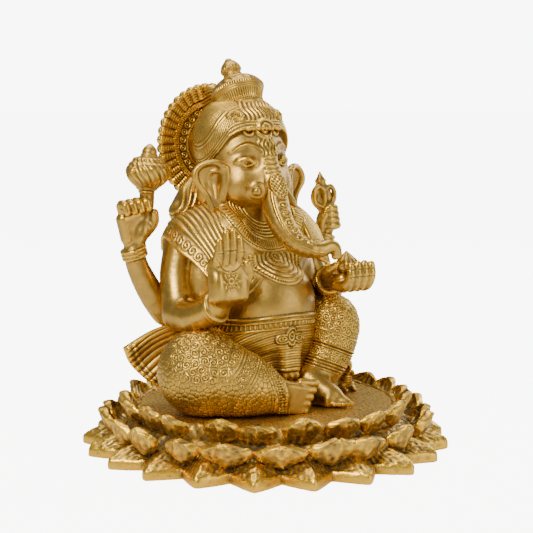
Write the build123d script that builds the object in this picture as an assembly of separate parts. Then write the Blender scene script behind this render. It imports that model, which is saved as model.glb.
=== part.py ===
from build123d import *
from math import cos, pi, radians, sin
import os

# A seated, four-armed, elephant-headed brass idol on a lotus dish.
# Millimetres. +Z is up, the figure faces -Y, and its right side is -X.
# The origin is the middle of the lotus's underside, where the idol stands.
#
# The figure is piece-cast: each limb, ear, tusk, hand-held emblem and the halo is a casting of
# its own, coped to its neighbour and brazed. The lotus is three petal rings and a floor plate,
# held by screws, and two studs hold the figure down on the floor.

# ---------------------------------------------------------------- driving dimensions: lotus
floor_radius = 102.8        # the plate that the figure sits on; the petal rings grow from it
floor_thickness = 4.0
floor_clearance = 0.2
petal_reach = 24.0          # of the lowest petals, from their notches to their tips
petal_count = 21
petal_phase = 4.2           # turn of the first low petal from the figure's front, degrees
rim_height = 8.5            # upright edge of the lowest petals
casting_wall = 4.0          # wall of the lotus castings
ring_flange = 4.0           # thickness of each ring's screw flange
flange_width = 16.8         # from the floor's edge to the bore of all three flanges
seat_lip = 1.0              # wall left outside the floor's seat
tier_step = 10.0            # between the feet of the inner and the middle petals
seat_margin = 2.0           # of the lowest ring's level seat beyond the middle ring's foot
shoulder_width = 10.0       # from that seat to the lowest petals' notches
outer_flat_height = 16.0
middle_petal_lean = 16.0
middle_petal_rise = 12.5    # from the top of its flange to the petal points
middle_notch_depth = 9.0
inner_petal_lean = 9.0
inner_petal_rise = 19.0
inner_notch_depth = 6.0
ledge_drop = 8.0            # clear room for the nuts under the floor's ledge

# ---------------------------------------------------------------- driving dimensions: fixings
ring_screw_count = 6
ring_screw_radius = 2.0     # M4
ring_screw_edge = 8.5       # from the flanges' bore to the screws
ring_screw_head_radius = 3.5
ring_screw_head_height = 2.6
ring_nut_flats = 7.0
ring_nut_height = 3.2
screw_clearance = 0.25
stud_radius = 3.0           # M6
stud_half_spacing = 24.0
stud_setback = 18.0         # of the studs behind the middle of the floor
stud_engagement = 14.0
stud_tail = 12.0
stud_washer_radius = 7.0
stud_washer_thickness = 1.6
stud_nut_flats = 10.0
stud_nut_height = 5.0
boss_radius = 9.0

# ---------------------------------------------------------------- driving dimensions: figure
body_wall = 5.0
hip_half_width = 54.0
hip_half_depth = 37.0
belly_half_width = 41.0
belly_half_depth = 42.0
belly_height = 82.0         # of the belly's middle above the floor
chest_half_width = 50.0
chest_half_depth = 27.0
chest_height = 126.0
chest_setback = 26.0
neck_height = 154.0
neck_radius = 19.0
neck_setback = 35.0

head_radius = 37.5
head_half_height = 46.0
head_rise = 45.0            # from the neck's top to the middle of the head
head_wall = 5.0
crown_tilt = 28.5           # degrees, leaning back
crown_base_radius = 17.0
crown_bowl_radius = 20.5
crown_bowl_height = 11.0
crown_height = 26.0
finial_radius = 8.5
finial_height = 15.5
halo_radius = 50.5
halo_thickness = 5.0
halo_setback = 51.0         # of the halo's middle behind the middle of the head
ear_width = 27.0
ear_height = 47.0
ear_thickness = 4.5
ear_sweep = 38.0            # degrees, laid back from the side
tusk_radius = 6.2
right_tusk_length = 17.0
left_tusk_length = 25.0
trunk_root_radius = 11.5
trunk_tip_radius = 4.5

shoulder_half_width = 55.0
shoulder_height = 130.0
shoulder_setback = 38.0
upper_arm_radius = 14.0
elbow_radius = 12.5
wrist_radius = 9.0
rear_arm_radius = 10.5
rear_wrist_radius = 8.5
rear_reach = 99.0           # half the spread of the two rear wrists
rear_wrist_height = 129.0
mace_radius = 16.5
mace_height = 54.0
goad_radius = 11.0
goad_height = 40.0
sweet_radius = 9.5

knee_radius = 33.0
knee_spread = 72.0
shin_end_radius = 16.0
raised_knee_radius = 24.0
raised_knee_height = 78.0
foot_length = 44.0
foot_half_width = 11.0
foot_half_height = 9.0
palm_width = 29.0
palm_thickness = 11.0
palm_length = 34.0
finger_radius = 3.2
finger_length = 19.0
sash_reach = 52.0
sash_thickness = 7.0
mouse_height = 30.0
mouse_radius = 5.5

# ---------------------------------------------------------------- worked-out places
inner_foot_radius = floor_radius + floor_clearance + seat_lip
inner_rim_radius = inner_foot_radius + inner_petal_lean
middle_foot_radius = inner_foot_radius + tier_step
middle_rim_radius = middle_foot_radius + middle_petal_lean
outer_flat_radius = middle_foot_radius + seat_margin
valley_radius = outer_flat_radius + shoulder_width
lotus_radius = valley_radius + petal_reach
flange_bore_radius = floor_radius - flange_width
ring_screw_circle = flange_bore_radius + ring_screw_edge
middle_flange_z = outer_flat_height
inner_flange_z = middle_flange_z + ring_flange
ledge_z = inner_flange_z + ring_flange + ledge_drop
floor_z = ledge_z + floor_thickness
petal_step = 360.0 / petal_count


def above(height):
    """Height over the lotus floor as a height over the ground."""
    return floor_z + height


def mirrored(point):
    return (-point[0], point[1], point[2])


# ---------------------------------------------------------------- shape helpers
def tapered(start, end, start_radius, end_radius):
    """A round bar from start to end, tapering evenly."""
    axis = Vector(*end) - Vector(*start)
    profile = [(0, 0), (start_radius, 0), (end_radius, axis.length), (0, axis.length)]
    return lathe(profile, start, axis)


def limb(points, radii):
    """Round bars through the points, with a ball at every bend and at both ends."""
    shape = Pos(*points[0]) * Sphere(radii[0])
    for i in range(1, len(points)):
        shape += tapered(points[i - 1], points[i], radii[i - 1], radii[i])
        shape += Pos(*points[i]) * Sphere(radii[i])
    return shape


def lathe(profile, base=(0, 0, 0), direction=(0, 0, 1)):
    """A solid of revolution from (radius, height) points, standing at base along direction."""
    face = make_face(Plane.XZ * Polyline(*profile, close=True))
    return Plane(origin=base, z_dir=direction) * revolve(face, Axis.Z)


def around(shape, count, phase=0.0):
    """Copies of shape about the lotus's axis."""
    return [Rot(0, 0, phase + i * 360.0 / count) * shape for i in range(count)]


def biggest(shape):
    """The main solid of a coped casting, without the crumbs the cope may leave."""
    return max(shape.solids(), key=lambda s: s.volume)


def touches(a, b):
    box_a, box_b = a.bounding_box(), b.bounding_box()
    return all(
        low_a <= high_b and low_b <= high_a
        for low_a, high_a, low_b, high_b in zip(box_a.min, box_a.max, box_b.min, box_b.max)
    )


def coped(shape, *neighbours):
    """shape with its neighbours' outer forms cut out of it, so that it seats on them."""
    for other in neighbours:
        if touches(shape, other):
            shape = shape - other
    return biggest(shape)


# ---------------------------------------------------------------- lotus castings
def screw_holes(low, high):
    hole = Pos(ring_screw_circle, 0, (low + high) / 2) * Cylinder(
        ring_screw_radius + screw_clearance, high - low + 2
    )
    return around(hole, ring_screw_count)


def outer_ring():
    """Lowest tier: a star of pointed petals with an upright edge, hollow underneath."""
    points = []
    for i in range(petal_count):
        tip = radians(-90 - petal_phase + i * petal_step)
        notch = tip + radians(petal_step / 2)
        points.append((lotus_radius * cos(tip), lotus_radius * sin(tip)))
        points.append((valley_radius * cos(notch), valley_radius * sin(notch)))
    star = extrude(make_face(Polyline(*points, close=True)), outer_flat_height)
    form = lathe(
        [
            (flange_bore_radius, outer_flat_height - ring_flange),
            (flange_bore_radius, outer_flat_height),
            (outer_flat_radius, outer_flat_height),
            (lotus_radius + 1, rim_height),
            (lotus_radius + 1, 0),
            (valley_radius - casting_wall, 0),
            (valley_radius - 2 * casting_wall, outer_flat_height - ring_flange),
        ]
    )
    shape = star & form
    return biggest(shape - screw_holes(outer_flat_height - ring_flange, outer_flat_height))


def petal_notches(radius, top, depth, phase):
    """V cutters that leave pointed petals in the wall of a ring."""
    half_gap = radius * pi / petal_count * 0.96
    notch = make_face(
        Plane.YZ
        * Polyline((-half_gap, top + 1), (0, top - depth), (half_gap, top + 1), close=True)
    )
    cutter = extrude(notch, radius + 12)
    return around(cutter, petal_count, phase)


def middle_ring():
    low = middle_flange_z
    high = low + ring_flange
    rim = high + middle_petal_rise
    form = lathe(
        [
            (flange_bore_radius, low),
            (middle_foot_radius, low),
            (middle_rim_radius - casting_wall / 2, rim - 6),
            (middle_rim_radius, rim),
            (middle_rim_radius - casting_wall, rim),
            (middle_foot_radius - casting_wall, high),
            (flange_bore_radius, high),
        ]
    )
    phase = -90 - petal_phase
    form -= petal_notches(middle_rim_radius, rim, middle_notch_depth, phase)
    return biggest(form - screw_holes(low, high))


def inner_ring():
    low = inner_flange_z
    high = low + ring_flange
    rim = high + inner_petal_rise
    seat_radius = floor_radius + floor_clearance
    form = lathe(
        [
            (flange_bore_radius, low),
            (inner_foot_radius, low),
            (inner_foot_radius + casting_wall, ledge_z),
            (inner_rim_radius + 1, rim - 1.5),
            (inner_rim_radius - casting_wall / 2, rim),
            (seat_radius + 1, floor_z),
            (seat_radius, ledge_z),
            (flange_bore_radius, ledge_z),
            (flange_bore_radius, ledge_z - casting_wall),
            (inner_foot_radius - 0.5 * casting_wall, ledge_z - casting_wall),
            (inner_foot_radius - casting_wall, high),
            (flange_bore_radius, high),
        ]
    )
    phase = -90 - petal_phase + petal_step / 2
    form -= petal_notches(inner_rim_radius, rim, inner_notch_depth, phase)
    return biggest(form - screw_holes(low, high))


def stud_places():
    return [(-stud_half_spacing, stud_setback), (stud_half_spacing, stud_setback)]


def floor_plate():
    plate = Pos(0, 0, ledge_z + floor_thickness / 2) * Cylinder(floor_radius, floor_thickness)
    for x, y in stud_places():
        plate -= Pos(x, y, ledge_z) * Cylinder(stud_radius + screw_clearance, 4 * floor_thickness)
    return plate


# ---------------------------------------------------------------- fixings
def ring_screws():
    """Pan-head screws up through the three flanges."""
    head_top = outer_flat_height - ring_flange
    nut_top = inner_flange_z + ring_flange + ring_nut_height
    shank_length = nut_top - head_top
    screw = Pos(ring_screw_circle, 0, head_top - ring_screw_head_height / 2) * Cylinder(
        ring_screw_head_radius, ring_screw_head_height
    )
    screw += Pos(ring_screw_circle, 0, head_top + shank_length / 2) * Cylinder(
        ring_screw_radius, shank_length
    )
    return Compound(around(screw, ring_screw_count))


def hex_nut(flats, height, bore):
    blank = extrude(RegularPolygon(flats / 2, 6, major_radius=False), height)
    return blank - Pos(0, 0, height / 2) * Cylinder(bore, 2 * height)


def ring_nuts():
    seat = inner_flange_z + ring_flange
    nut = Pos(ring_screw_circle, 0, seat) * hex_nut(
        ring_nut_flats, ring_nut_height, ring_screw_radius
    )
    return Compound(around(nut, ring_screw_count))


def stud_solids():
    length = stud_engagement + floor_thickness + stud_tail
    low = ledge_z - stud_tail
    return [Pos(x, y, low + length / 2) * Cylinder(stud_radius, length) for x, y in stud_places()]


def stud_washers():
    ring = Cylinder(stud_washer_radius, stud_washer_thickness) - Cylinder(
        stud_radius + screw_clearance, 2 * stud_washer_thickness
    )
    middle = ledge_z - stud_washer_thickness / 2
    return Compound([Pos(x, y, middle) * ring for x, y in stud_places()])


def stud_nuts():
    low = ledge_z - stud_washer_thickness - stud_nut_height
    nut = hex_nut(stud_nut_flats, stud_nut_height, stud_radius)
    return Compound([Pos(x, y, low) * nut for x, y in stud_places()])


# ---------------------------------------------------------------- body
def body_sections(inset):
    """(height over the floor, setback, half width, half depth) of the torso, inset by a wall."""
    rows = [
        (0, 20, hip_half_width - 4, hip_half_depth - 2),
        (24, 17, hip_half_width, hip_half_depth + 3),
        (44, 9, belly_half_width + 7, belly_half_depth - 3),
        (62, 3, belly_half_width + 1, belly_half_depth),
        (belly_height, 2, belly_half_width, belly_half_depth),
        (belly_height + 18, 6, belly_half_width + 1, belly_half_depth - 4),
        (belly_height + 30, 14, belly_half_width + 5, belly_half_depth - 9),
        (chest_height, chest_setback, chest_half_width, chest_half_depth),
        (chest_height + 14, chest_setback + 7, chest_half_width - 8, chest_half_depth - 5),
        (neck_height - 6, neck_setback, neck_radius + 4, neck_radius + 1),
        (neck_height, neck_setback, neck_radius, neck_radius),
    ]
    return [(h, y, a - inset, b - inset) for h, y, a, b in rows]


def body_form(inset=0.0, drop=0.0, rows=slice(None)):
    sketches = []
    for height, setback, half_x, half_y in body_sections(inset)[rows]:
        low = drop if height == 0 else 0.0
        sketches.append(Pos(0, setback, above(height) - low) * Ellipse(half_x, half_y))
    return loft(sketches, ruled=True)


def body_shell(outer):
    """Hollow casting with two bosses for the studs, open underneath."""
    shell = outer - body_form(body_wall, drop=2.0, rows=slice(0, 8))
    for x, y in stud_places():
        boss = Pos(x, y, above(stud_engagement / 2 + 2)) * Cylinder(
            boss_radius, stud_engagement + 4
        )
        boss += Pos(x, y + 8, above(stud_engagement / 2 + 2)) * Box(
            casting_wall, 34, stud_engagement + 4
        )
        shell += boss & outer
        shell -= Pos(x, y, above(stud_engagement / 2)) * Cylinder(stud_radius, stud_engagement)
    return biggest(shell)


# ---------------------------------------------------------------- legs
right_knee = (-knee_spread, -14.0, above(knee_radius + 0.3))
right_hip = (-26.0, 20.0, above(30.0))
right_shin = (-46.0, -40.0, above(21.0))
right_ankle = (-25.0, -47.0, above(shin_end_radius + 0.5))
left_hip = (26.0, 18.0, above(32.0))
left_knee = (57.0, -15.0, above(raised_knee_height - raised_knee_radius + 10.0))
left_ankle = (28.0, -28.0, above(shin_end_radius + 2.0))


def right_leg():
    """Folded leg: thigh out to the knee, shin back across the front, foot on its side."""
    radii = [26.0, knee_radius, 20.5, shin_end_radius, foot_half_width]
    ankle_x, ankle_y, _ = right_ankle
    toes = (ankle_x + foot_length - shin_end_radius, ankle_y - 1, above(foot_half_width + 0.3))
    return limb([right_hip, right_knee, right_shin, right_ankle, toes], radii)


def left_leg():
    """Raised leg: knee up, shin down to a foot flat over the floor."""
    radii = [22.0, raised_knee_radius, shin_end_radius]
    leg = limb([left_hip, left_knee, left_ankle], radii)
    x, y, _ = left_ankle
    heel = (x, y - 4, above(foot_half_height + 1.8))
    toes = (x + 7, y - foot_length + foot_half_height + 4, above(foot_half_height + 0.3))
    return leg + limb([heel, toes], [foot_half_height + 1.5, foot_half_height])


# ---------------------------------------------------------------- arms
right_shoulder = (-shoulder_half_width, shoulder_setback, above(shoulder_height))
left_shoulder = mirrored(right_shoulder)
front_elbow = (-shoulder_half_width - 15.0, shoulder_setback - 20.0, above(shoulder_height - 54.0))
blessing_wrist = (front_elbow[0] + 9.0, front_elbow[1] - 46.0, front_elbow[2] + 14.0)
offering_wrist = (-front_elbow[0] - 17.0, front_elbow[1] - 30.0, front_elbow[2] + 22.0)
rear_elbow = (-shoulder_half_width - 8.0, shoulder_setback + 8.0, above(shoulder_height - 60.0))
rear_wrist = (-rear_reach, shoulder_setback + 13.0, above(rear_wrist_height))


def hand(wrist, reach, across, curl):
    """A flat palm along reach with four fingers, curled up by so much at the tips, and a thumb."""
    plane = Plane(origin=wrist, x_dir=across, z_dir=reach)
    block = Box(palm_width, palm_thickness, palm_length)
    palm = Pos(0, 0, 2 + palm_length / 2) * fillet(block.edges(), 0.4 * palm_thickness)
    for i in range(4):
        x = (i - 1.5) * (2 * finger_radius + 0.7)
        root = (x, 0, palm_length - 3)
        tip = (x, curl, palm_length + finger_length)
        palm += limb([root, tip], [finger_radius, 0.85 * finger_radius])
    side = palm_width / 2 - 1
    palm += limb([(side, 0, 8), (side + 4.5, 3, 24)], [4.2, 3.2])
    return plane * palm


def blessing_arm():
    """Front right arm, its palm raised and facing forward."""
    radii = [upper_arm_radius, elbow_radius, wrist_radius]
    arm = limb([right_shoulder, front_elbow, blessing_wrist], radii)
    return arm + hand(blessing_wrist, (0, -0.24, 1), (1, 0, 0), 0.0)


def offering_arm():
    """Front left arm, its palm up with the fingers curled at the end."""
    radii = [upper_arm_radius, elbow_radius, wrist_radius]
    arm = limb([left_shoulder, mirrored(front_elbow), offering_wrist], radii)
    return arm + hand(offering_wrist, (0, -1, 0.05), (1, 0, 0), 9.0)


def rear_arm(side):
    """side is -1 for the right arm and 1 for the left."""
    root = (-shoulder_half_width + 12, shoulder_setback + 2, above(shoulder_height - 14))
    points = [root, rear_elbow, rear_wrist]
    x, y, z = rear_wrist
    fist = limb([(x, y, z + 9), (x + 2, y - 2, z + 24)], [10.5, 11.5])
    arm = limb(points, [rear_arm_radius + 1.5, rear_arm_radius, rear_wrist_radius]) + fist
    return arm if side < 0 else mirror(arm, about=Plane.YZ)


def emblem(profile, side, inward, rise):
    """A lathe-turned emblem standing in a rear fist, leaning a little towards the head."""
    x, y, z = rear_wrist
    base = (side * (rear_reach - inward), y - 2, z + rise)
    return lathe(profile, base, (-side * 0.12, 0, 1))


def mace():
    height = mace_height
    return emblem(
        [
            (0, 0),
            (7, 0),
            (mace_radius * 0.6, 8),
            (mace_radius, height * 0.42),
            (mace_radius * 0.95, height * 0.52),
            (mace_radius * 0.55, height * 0.66),
            (5.5, height * 0.7),
            (6, height * 0.78),
            (0, height),
        ],
        -1,
        14.0,
        28.0,
    )


def goad():
    height = goad_height
    return emblem(
        [
            (0, 0),
            (5, 0),
            (6, 4),
            (goad_radius, height * 0.42),
            (goad_radius * 0.9, height * 0.58),
            (4.5, height * 0.72),
            (5, height * 0.8),
            (0, height),
        ],
        1,
        4.0,
        13.0,
    )


def sweet():
    """The round sweet in the offering palm, coming to a point."""
    x, y, z = offering_wrist
    profile = [
        (0, 0),
        (sweet_radius * 0.7, 0),
        (sweet_radius, sweet_radius * 0.6),
        (sweet_radius * 0.7, sweet_radius * 1.3),
        (0, sweet_radius * 2),
    ]
    return lathe(profile, (x - 5, y - 28, z + palm_thickness / 2))


# ---------------------------------------------------------------- head
head_centre = (0, neck_setback, above(neck_height + head_rise))


def head_form(inset=0.0):
    radius = head_radius - inset
    half_height = head_half_height - inset
    oval = Plane.XZ * Ellipse(radius, half_height)
    half = oval & (Plane.XZ * Pos(radius, 0) * Rectangle(2 * radius, 4 * half_height))
    return Pos(*head_centre) * revolve(half, Axis.Z)


def crown_axis():
    lean = radians(crown_tilt)
    return Vector(0, sin(lean), cos(lean))


def crown_foot():
    return Vector(*head_centre) + Vector(0, 2, head_half_height - 1)


def crown():
    profile = [
        (0, -8),
        (crown_base_radius, -8),
        (crown_base_radius, 0),
        (crown_bowl_radius, crown_bowl_height - 4),
        (crown_bowl_radius, crown_bowl_height),
        (crown_base_radius, crown_bowl_height + 4),
        (6.5, crown_height - 4),
        (6.0, crown_height),
        (0, crown_height),
    ]
    return lathe(profile, crown_foot(), crown_axis())


def finial():
    profile = [
        (0, 0),
        (6.0, 0),
        (finial_radius, finial_height * 0.3),
        (finial_radius * 0.8, finial_height * 0.55),
        (0, finial_height),
    ]
    return lathe(profile, crown_foot() + crown_axis() * crown_height, crown_axis())


def halo_centre():
    return Vector(*head_centre) + Vector(0, halo_setback, 9)


def halo():
    disc = extrude(Circle(halo_radius), halo_thickness / 2, both=True)
    return Plane(origin=halo_centre(), z_dir=(0, -1, 0)) * disc


def halo_strut():
    """Stub that carries the halo off the back of the head."""
    start = Vector(*head_centre) + Vector(0, head_radius - head_wall - 4, 9)
    end = halo_centre() - Vector(0, halo_thickness / 2, 0)
    return tapered(tuple(start), tuple(end), 9.0, 13.0)


def ear(side):
    """A thin fan, rounded above and coming to a lobe below. side is -1 right, 1 left."""
    outline = Spline(
        (0, ear_height * 0.36),
        (ear_width * 0.5, ear_height * 0.5),
        (ear_width, ear_height * 0.3),
        (ear_width * 0.86, -ear_height * 0.05),
        (ear_width * 0.35, -ear_height * 0.47),
        (0, -ear_height * 0.42),
    )
    edge = outline + Line(outline @ 1, outline @ 0)
    fan = extrude(make_face(edge), ear_thickness / 2, both=True)
    x, y, z = head_centre
    root = (head_radius * 0.86, y - 20, z - 17)
    lay = Plane(
        origin=root,
        x_dir=(cos(radians(ear_sweep)), sin(radians(ear_sweep)), 0),
        z_dir=(sin(radians(ear_sweep)), -cos(radians(ear_sweep)), 0),
    )
    fan = lay * fan
    return fan if side > 0 else mirror(fan, about=Plane.YZ)


def tusk(side, length):
    x, y, z = head_centre
    start = (side * 12.0, y - head_radius + 8, z - 28)
    way = Vector(side * 0.45, -0.75, -0.48).normalized()
    end = Vector(*start) + way * length
    return tapered(start, tuple(end), tusk_radius, tusk_radius * (0.9 if side < 0 else 0.45))


def trunk():
    """Falls from the brow, swings to the figure's left and reaches for the sweet."""
    x, y, z = head_centre
    points = [
        (0, y - head_radius + 4, z - 5),
        (0, y - head_radius - 5.5, z - 22),
        (-1.5, y - head_radius - 11.5, z - 37),
        (-2, y - head_radius - 21.5, z - 52),
        (3, y - head_radius - 31.5, z - 64),
        (12, y - head_radius - 40.5, z - 70),
        (23, y - head_radius - 45, z - 71),
        (31, y - head_radius - 46, z - 69.2),
        (36.5, y - head_radius - 46.5, z - 70.5),
        (39, y - head_radius - 47, z - 76),
    ]
    step = (trunk_root_radius - trunk_tip_radius) / (len(points) - 1)
    radii = [trunk_root_radius - i * step for i in range(len(points))]
    return limb(points, radii)


# ---------------------------------------------------------------- cloth tails and mouse
def sash_tail(side):
    """End of the waist cloth, flaring out behind the hip. side is -1 right, 1 left."""
    outline = Polyline(
        (0, 26), (sash_reach * 0.5, 22), (sash_reach, 2), (sash_reach * 0.55, -22), (0, -26),
        close=True,
    )
    fan = extrude(make_face(outline), sash_thickness / 2, both=True)
    root = (hip_half_width - 8, 40, above(52))
    lean = Plane(origin=root, x_dir=(0.95, 0.2, -0.22), z_dir=(0.2, -0.97, 0))
    fan = lean * fan
    return fan if side > 0 else mirror(fan, about=Plane.YZ)


def mouse():
    """The mouse, sitting up beside the raised foot."""
    x, y = 75.0, -8.0
    low = above(0)
    body = lathe(
        [
            (0, 0),
            (mouse_radius * 1.15, 0),
            (mouse_radius * 1.2, mouse_height * 0.3),
            (mouse_radius * 0.8, mouse_height * 0.7),
            (mouse_radius, mouse_height * 0.85),
            (0, mouse_height),
        ],
        (x, y, low),
    )
    return body + Pos(x - 3, y - 5, low + mouse_height * 0.8) * Sphere(mouse_radius * 0.7)


# ---------------------------------------------------------------- assembly and export
def castings():
    """The figure's castings in the order they are coped: each seats on those before it."""
    body = body_form()
    solids = {"body": body}
    head = head_form()
    plan = [
        ("right_leg", right_leg()),
        ("left_leg", left_leg()),
        ("head", head),
        ("front_right_arm", blessing_arm()),
        ("front_left_arm", offering_arm()),
        ("rear_right_arm", rear_arm(-1)),
        ("rear_left_arm", rear_arm(1)),
        ("crown", crown()),
        ("crown_finial", finial()),
        ("halo", halo()),
        ("halo_strut", halo_strut()),
        ("right_ear", ear(-1)),
        ("left_ear", ear(1)),
        ("trunk", trunk()),
        ("right_tusk", tusk(-1, right_tusk_length)),
        ("left_tusk", tusk(1, left_tusk_length)),
        ("mace", mace()),
        ("goad", goad()),
        ("sweet", sweet()),
        ("right_sash_tail", sash_tail(-1)),
        ("left_sash_tail", sash_tail(1)),
        ("mouse", mouse()),
    ]
    for name, shape in plan:
        solids[name] = coped(shape, *solids.values())
    solids["head"] = biggest(solids["head"] - head_form(head_wall))
    solids["body"] = body_shell(body)
    return solids


def main():
    parts = {
        "lotus_outer_ring": outer_ring(),
        "lotus_middle_ring": middle_ring(),
        "lotus_inner_ring": inner_ring(),
        "lotus_floor": floor_plate(),
        "ring_screws": ring_screws(),
        "ring_nuts": ring_nuts(),
        "figure_studs": Compound(stud_solids()),
        "stud_washers": stud_washers(),
        "stud_nuts": stud_nuts(),
    }
    parts.update(castings())
    os.makedirs("parts", exist_ok=True)
    for name, shape in parts.items():
        export_step(shape, f"parts/{name}.step")


main()
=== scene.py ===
import bpy
import bmesh
import math
import numpy as np
import openvdb
from mathutils import Matrix, Vector


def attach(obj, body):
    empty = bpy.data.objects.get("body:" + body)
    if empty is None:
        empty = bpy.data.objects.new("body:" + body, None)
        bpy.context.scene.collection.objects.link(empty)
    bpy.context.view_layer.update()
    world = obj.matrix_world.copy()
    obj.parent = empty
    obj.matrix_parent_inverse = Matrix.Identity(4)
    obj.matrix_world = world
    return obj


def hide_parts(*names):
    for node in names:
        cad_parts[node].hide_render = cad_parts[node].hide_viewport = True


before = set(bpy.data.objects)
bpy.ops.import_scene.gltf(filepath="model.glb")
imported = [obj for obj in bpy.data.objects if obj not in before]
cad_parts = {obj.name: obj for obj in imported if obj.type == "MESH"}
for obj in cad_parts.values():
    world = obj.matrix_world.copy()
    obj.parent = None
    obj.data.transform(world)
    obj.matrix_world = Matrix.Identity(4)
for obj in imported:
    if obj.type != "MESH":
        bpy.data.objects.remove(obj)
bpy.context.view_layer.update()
coarse = 1.0      # grid spacing factor while trying things out
lattice = np.random.default_rng(11).random((32, 32, 32)).astype(np.float32)      # feeds every noise

# all the modelling below is in mm, meshes are scaled to metres as they are made


def vec(p):
    return np.asarray(p, np.float32)


def unit(v):
    v = np.asarray(v, float)
    return v / np.linalg.norm(v)


def noise(p, size):      # smooth value noise, -1 to 1
    q = np.asarray(p, np.float32) / size + 57.3
    i = np.floor(q).astype(np.int64)
    f = q - i
    f = f * f * (3 - 2 * f)
    total = 0
    for dx in (0, 1):
        wx = f[..., 0] if dx else 1 - f[..., 0]
        for dy in (0, 1):
            wy = f[..., 1] if dy else 1 - f[..., 1]
            for dz in (0, 1):
                wz = f[..., 2] if dz else 1 - f[..., 2]
                cell = tuple((i[..., k] + d) % 32 for k, d in enumerate((dx, dy, dz)))
                total = total + wx * wy * wz * lattice[cell]
    return total * 2 - 1


def bump(x, at, width):      # soft ridge
    return np.exp(-((x - at) / width) ** 2)


def step(x, a, b):      # 0 below a, 1 above b
    t = np.clip((x - a) / (b - a), 0, 1)
    return t * t * (3 - 2 * t)


def between(x, a, b, soft=0.6):
    return step(x, a - soft, a + soft) * (1 - step(x, b - soft, b + soft))


def spline(points, count):      # Catmull-Rom through rows of any length
    p = np.asarray(points, float)
    p = np.vstack([2 * p[0] - p[1], p, 2 * p[-1] - p[-2]])
    t = np.linspace(0, len(p) - 3, count)
    i = np.minimum(t.astype(int), len(p) - 4)
    f = (t - i)[:, None]
    a, b, c, d = p[i], p[i + 1], p[i + 2], p[i + 3]
    return 0.5 * (2 * b + (c - a) * f + (2 * a - 5 * b + 4 * c - d) * f**2 + (3 * b - a - 3 * c + d) * f**3)


# clay: distance fields on a grid, added and cut like lumps of clay


class Clay:
    def __init__(self, low, high, spacing):
        self.step = spacing * coarse
        self.low = vec(low)
        n = np.ceil((vec(high) - self.low) / self.step).astype(int) + 1
        self.x = (self.low[0] + self.step * np.arange(n[0], dtype=np.float32))[:, None, None]
        self.y = (self.low[1] + self.step * np.arange(n[1], dtype=np.float32))[None, :, None]
        self.z = (self.low[2] + self.step * np.arange(n[2], dtype=np.float32))[None, None, :]
        self.d = np.full(n, 1e3, np.float32)

    def ball(self, c, r, turn=None):
        x, y, z = self.x - c[0], self.y - c[1], self.z - c[2]
        if np.isscalar(r):
            return np.sqrt(x * x + y * y + z * z) - r
        if turn is not None:
            m = np.array(turn)
            x, y, z = (m[0, k] * x + m[1, k] * y + m[2, k] * z for k in range(3))
        k0 = np.sqrt((x / r[0]) ** 2 + (y / r[1]) ** 2 + (z / r[2]) ** 2)
        k1 = np.sqrt((x / r[0] ** 2) ** 2 + (y / r[1] ** 2) ** 2 + (z / r[2] ** 2) ** 2)
        return k0 * (k0 - 1) / np.maximum(k1, 1e-6)

    def rod(self, a, b, ra, rb):
        a, b = vec(a), vec(b)
        v = b - a
        x, y, z = self.x - a[0], self.y - a[1], self.z - a[2]
        t = np.clip((x * v[0] + y * v[1] + z * v[2]) / float(v @ v), 0, 1)
        away = np.sqrt((x - t * v[0]) ** 2 + (y - t * v[1]) ** 2 + (z - t * v[2]) ** 2)
        return away - (ra + (rb - ra) * t)

    def tube(self, path, count=14):      # path rows are x, y, z, radius
        p = spline(path, count)
        d = None
        for a, b in zip(p[:-1], p[1:]):
            piece = self.rod(a[:3], b[:3], a[3], b[3])
            d = piece if d is None else np.minimum(d, piece)
        return d

    def slab(self, c, half, rounding, turn=None):
        x, y, z = self.x - c[0], self.y - c[1], self.z - c[2]
        if turn is not None:
            m = np.array(turn)
            x, y, z = (m[0, k] * x + m[1, k] * y + m[2, k] * z for k in range(3))
        q = [np.abs(v) - h + rounding for v, h in zip((x, y, z), half)]
        outside = np.sqrt(sum(np.maximum(v, 0) ** 2 for v in q))
        return outside + np.minimum(np.maximum(np.maximum(q[0], q[1]), q[2]), 0) - rounding

    def add(self, d, blend=0.0):
        self.d = np.minimum(self.d, d) if blend <= 0 else softMin(self.d, d, blend)

    def cut(self, d, blend=0.0):
        self.d = np.maximum(self.d, -d) if blend <= 0 else -softMin(-self.d, d, blend)

    def clip(self, d):
        self.d = np.maximum(self.d, d)

    def mesh(self, name):
        edge = 3 * self.step
        grid = openvdb.FloatGrid(edge)
        grid.copyFromArray(np.ascontiguousarray(np.clip(self.d, -edge, edge), dtype=np.float32))
        points, quads = grid.convertToQuads(isovalue=0.0)
        me = plainMesh(name, points * self.step + self.low, quads)
        return subdivided(me)


def softMin(a, b, k):
    h = np.clip(0.5 + 0.5 * (b - a) / k, 0, 1)
    return b * (1 - h) + a * h - k * h * (1 - h)


def plainMesh(name, points, faces):
    points = np.asarray(points, np.float32)
    faces = np.asarray(faces, np.int32)
    me = bpy.data.meshes.new(name)
    me.vertices.add(len(points))
    me.vertices.foreach_set("co", points.ravel())
    me.loops.add(faces.size)
    me.loops.foreach_set("vertex_index", faces.ravel())
    me.polygons.add(len(faces))
    me.polygons.foreach_set("loop_start", np.arange(len(faces), dtype=np.int32) * faces.shape[1])
    me.update(calc_edges=True)
    return me


def subdivided(me):
    ob = bpy.data.objects.new("work", me)
    bpy.context.scene.collection.objects.link(ob)
    ob.modifiers.new("smooth", "SUBSURF").levels = 1
    out = evaluated(ob)
    bpy.data.objects.remove(ob)
    bpy.data.meshes.remove(me)
    return out


def evaluated(ob):
    graph = bpy.context.evaluated_depsgraph_get()
    graph.update()
    return bpy.data.meshes.new_from_object(ob.evaluated_get(graph))


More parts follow.
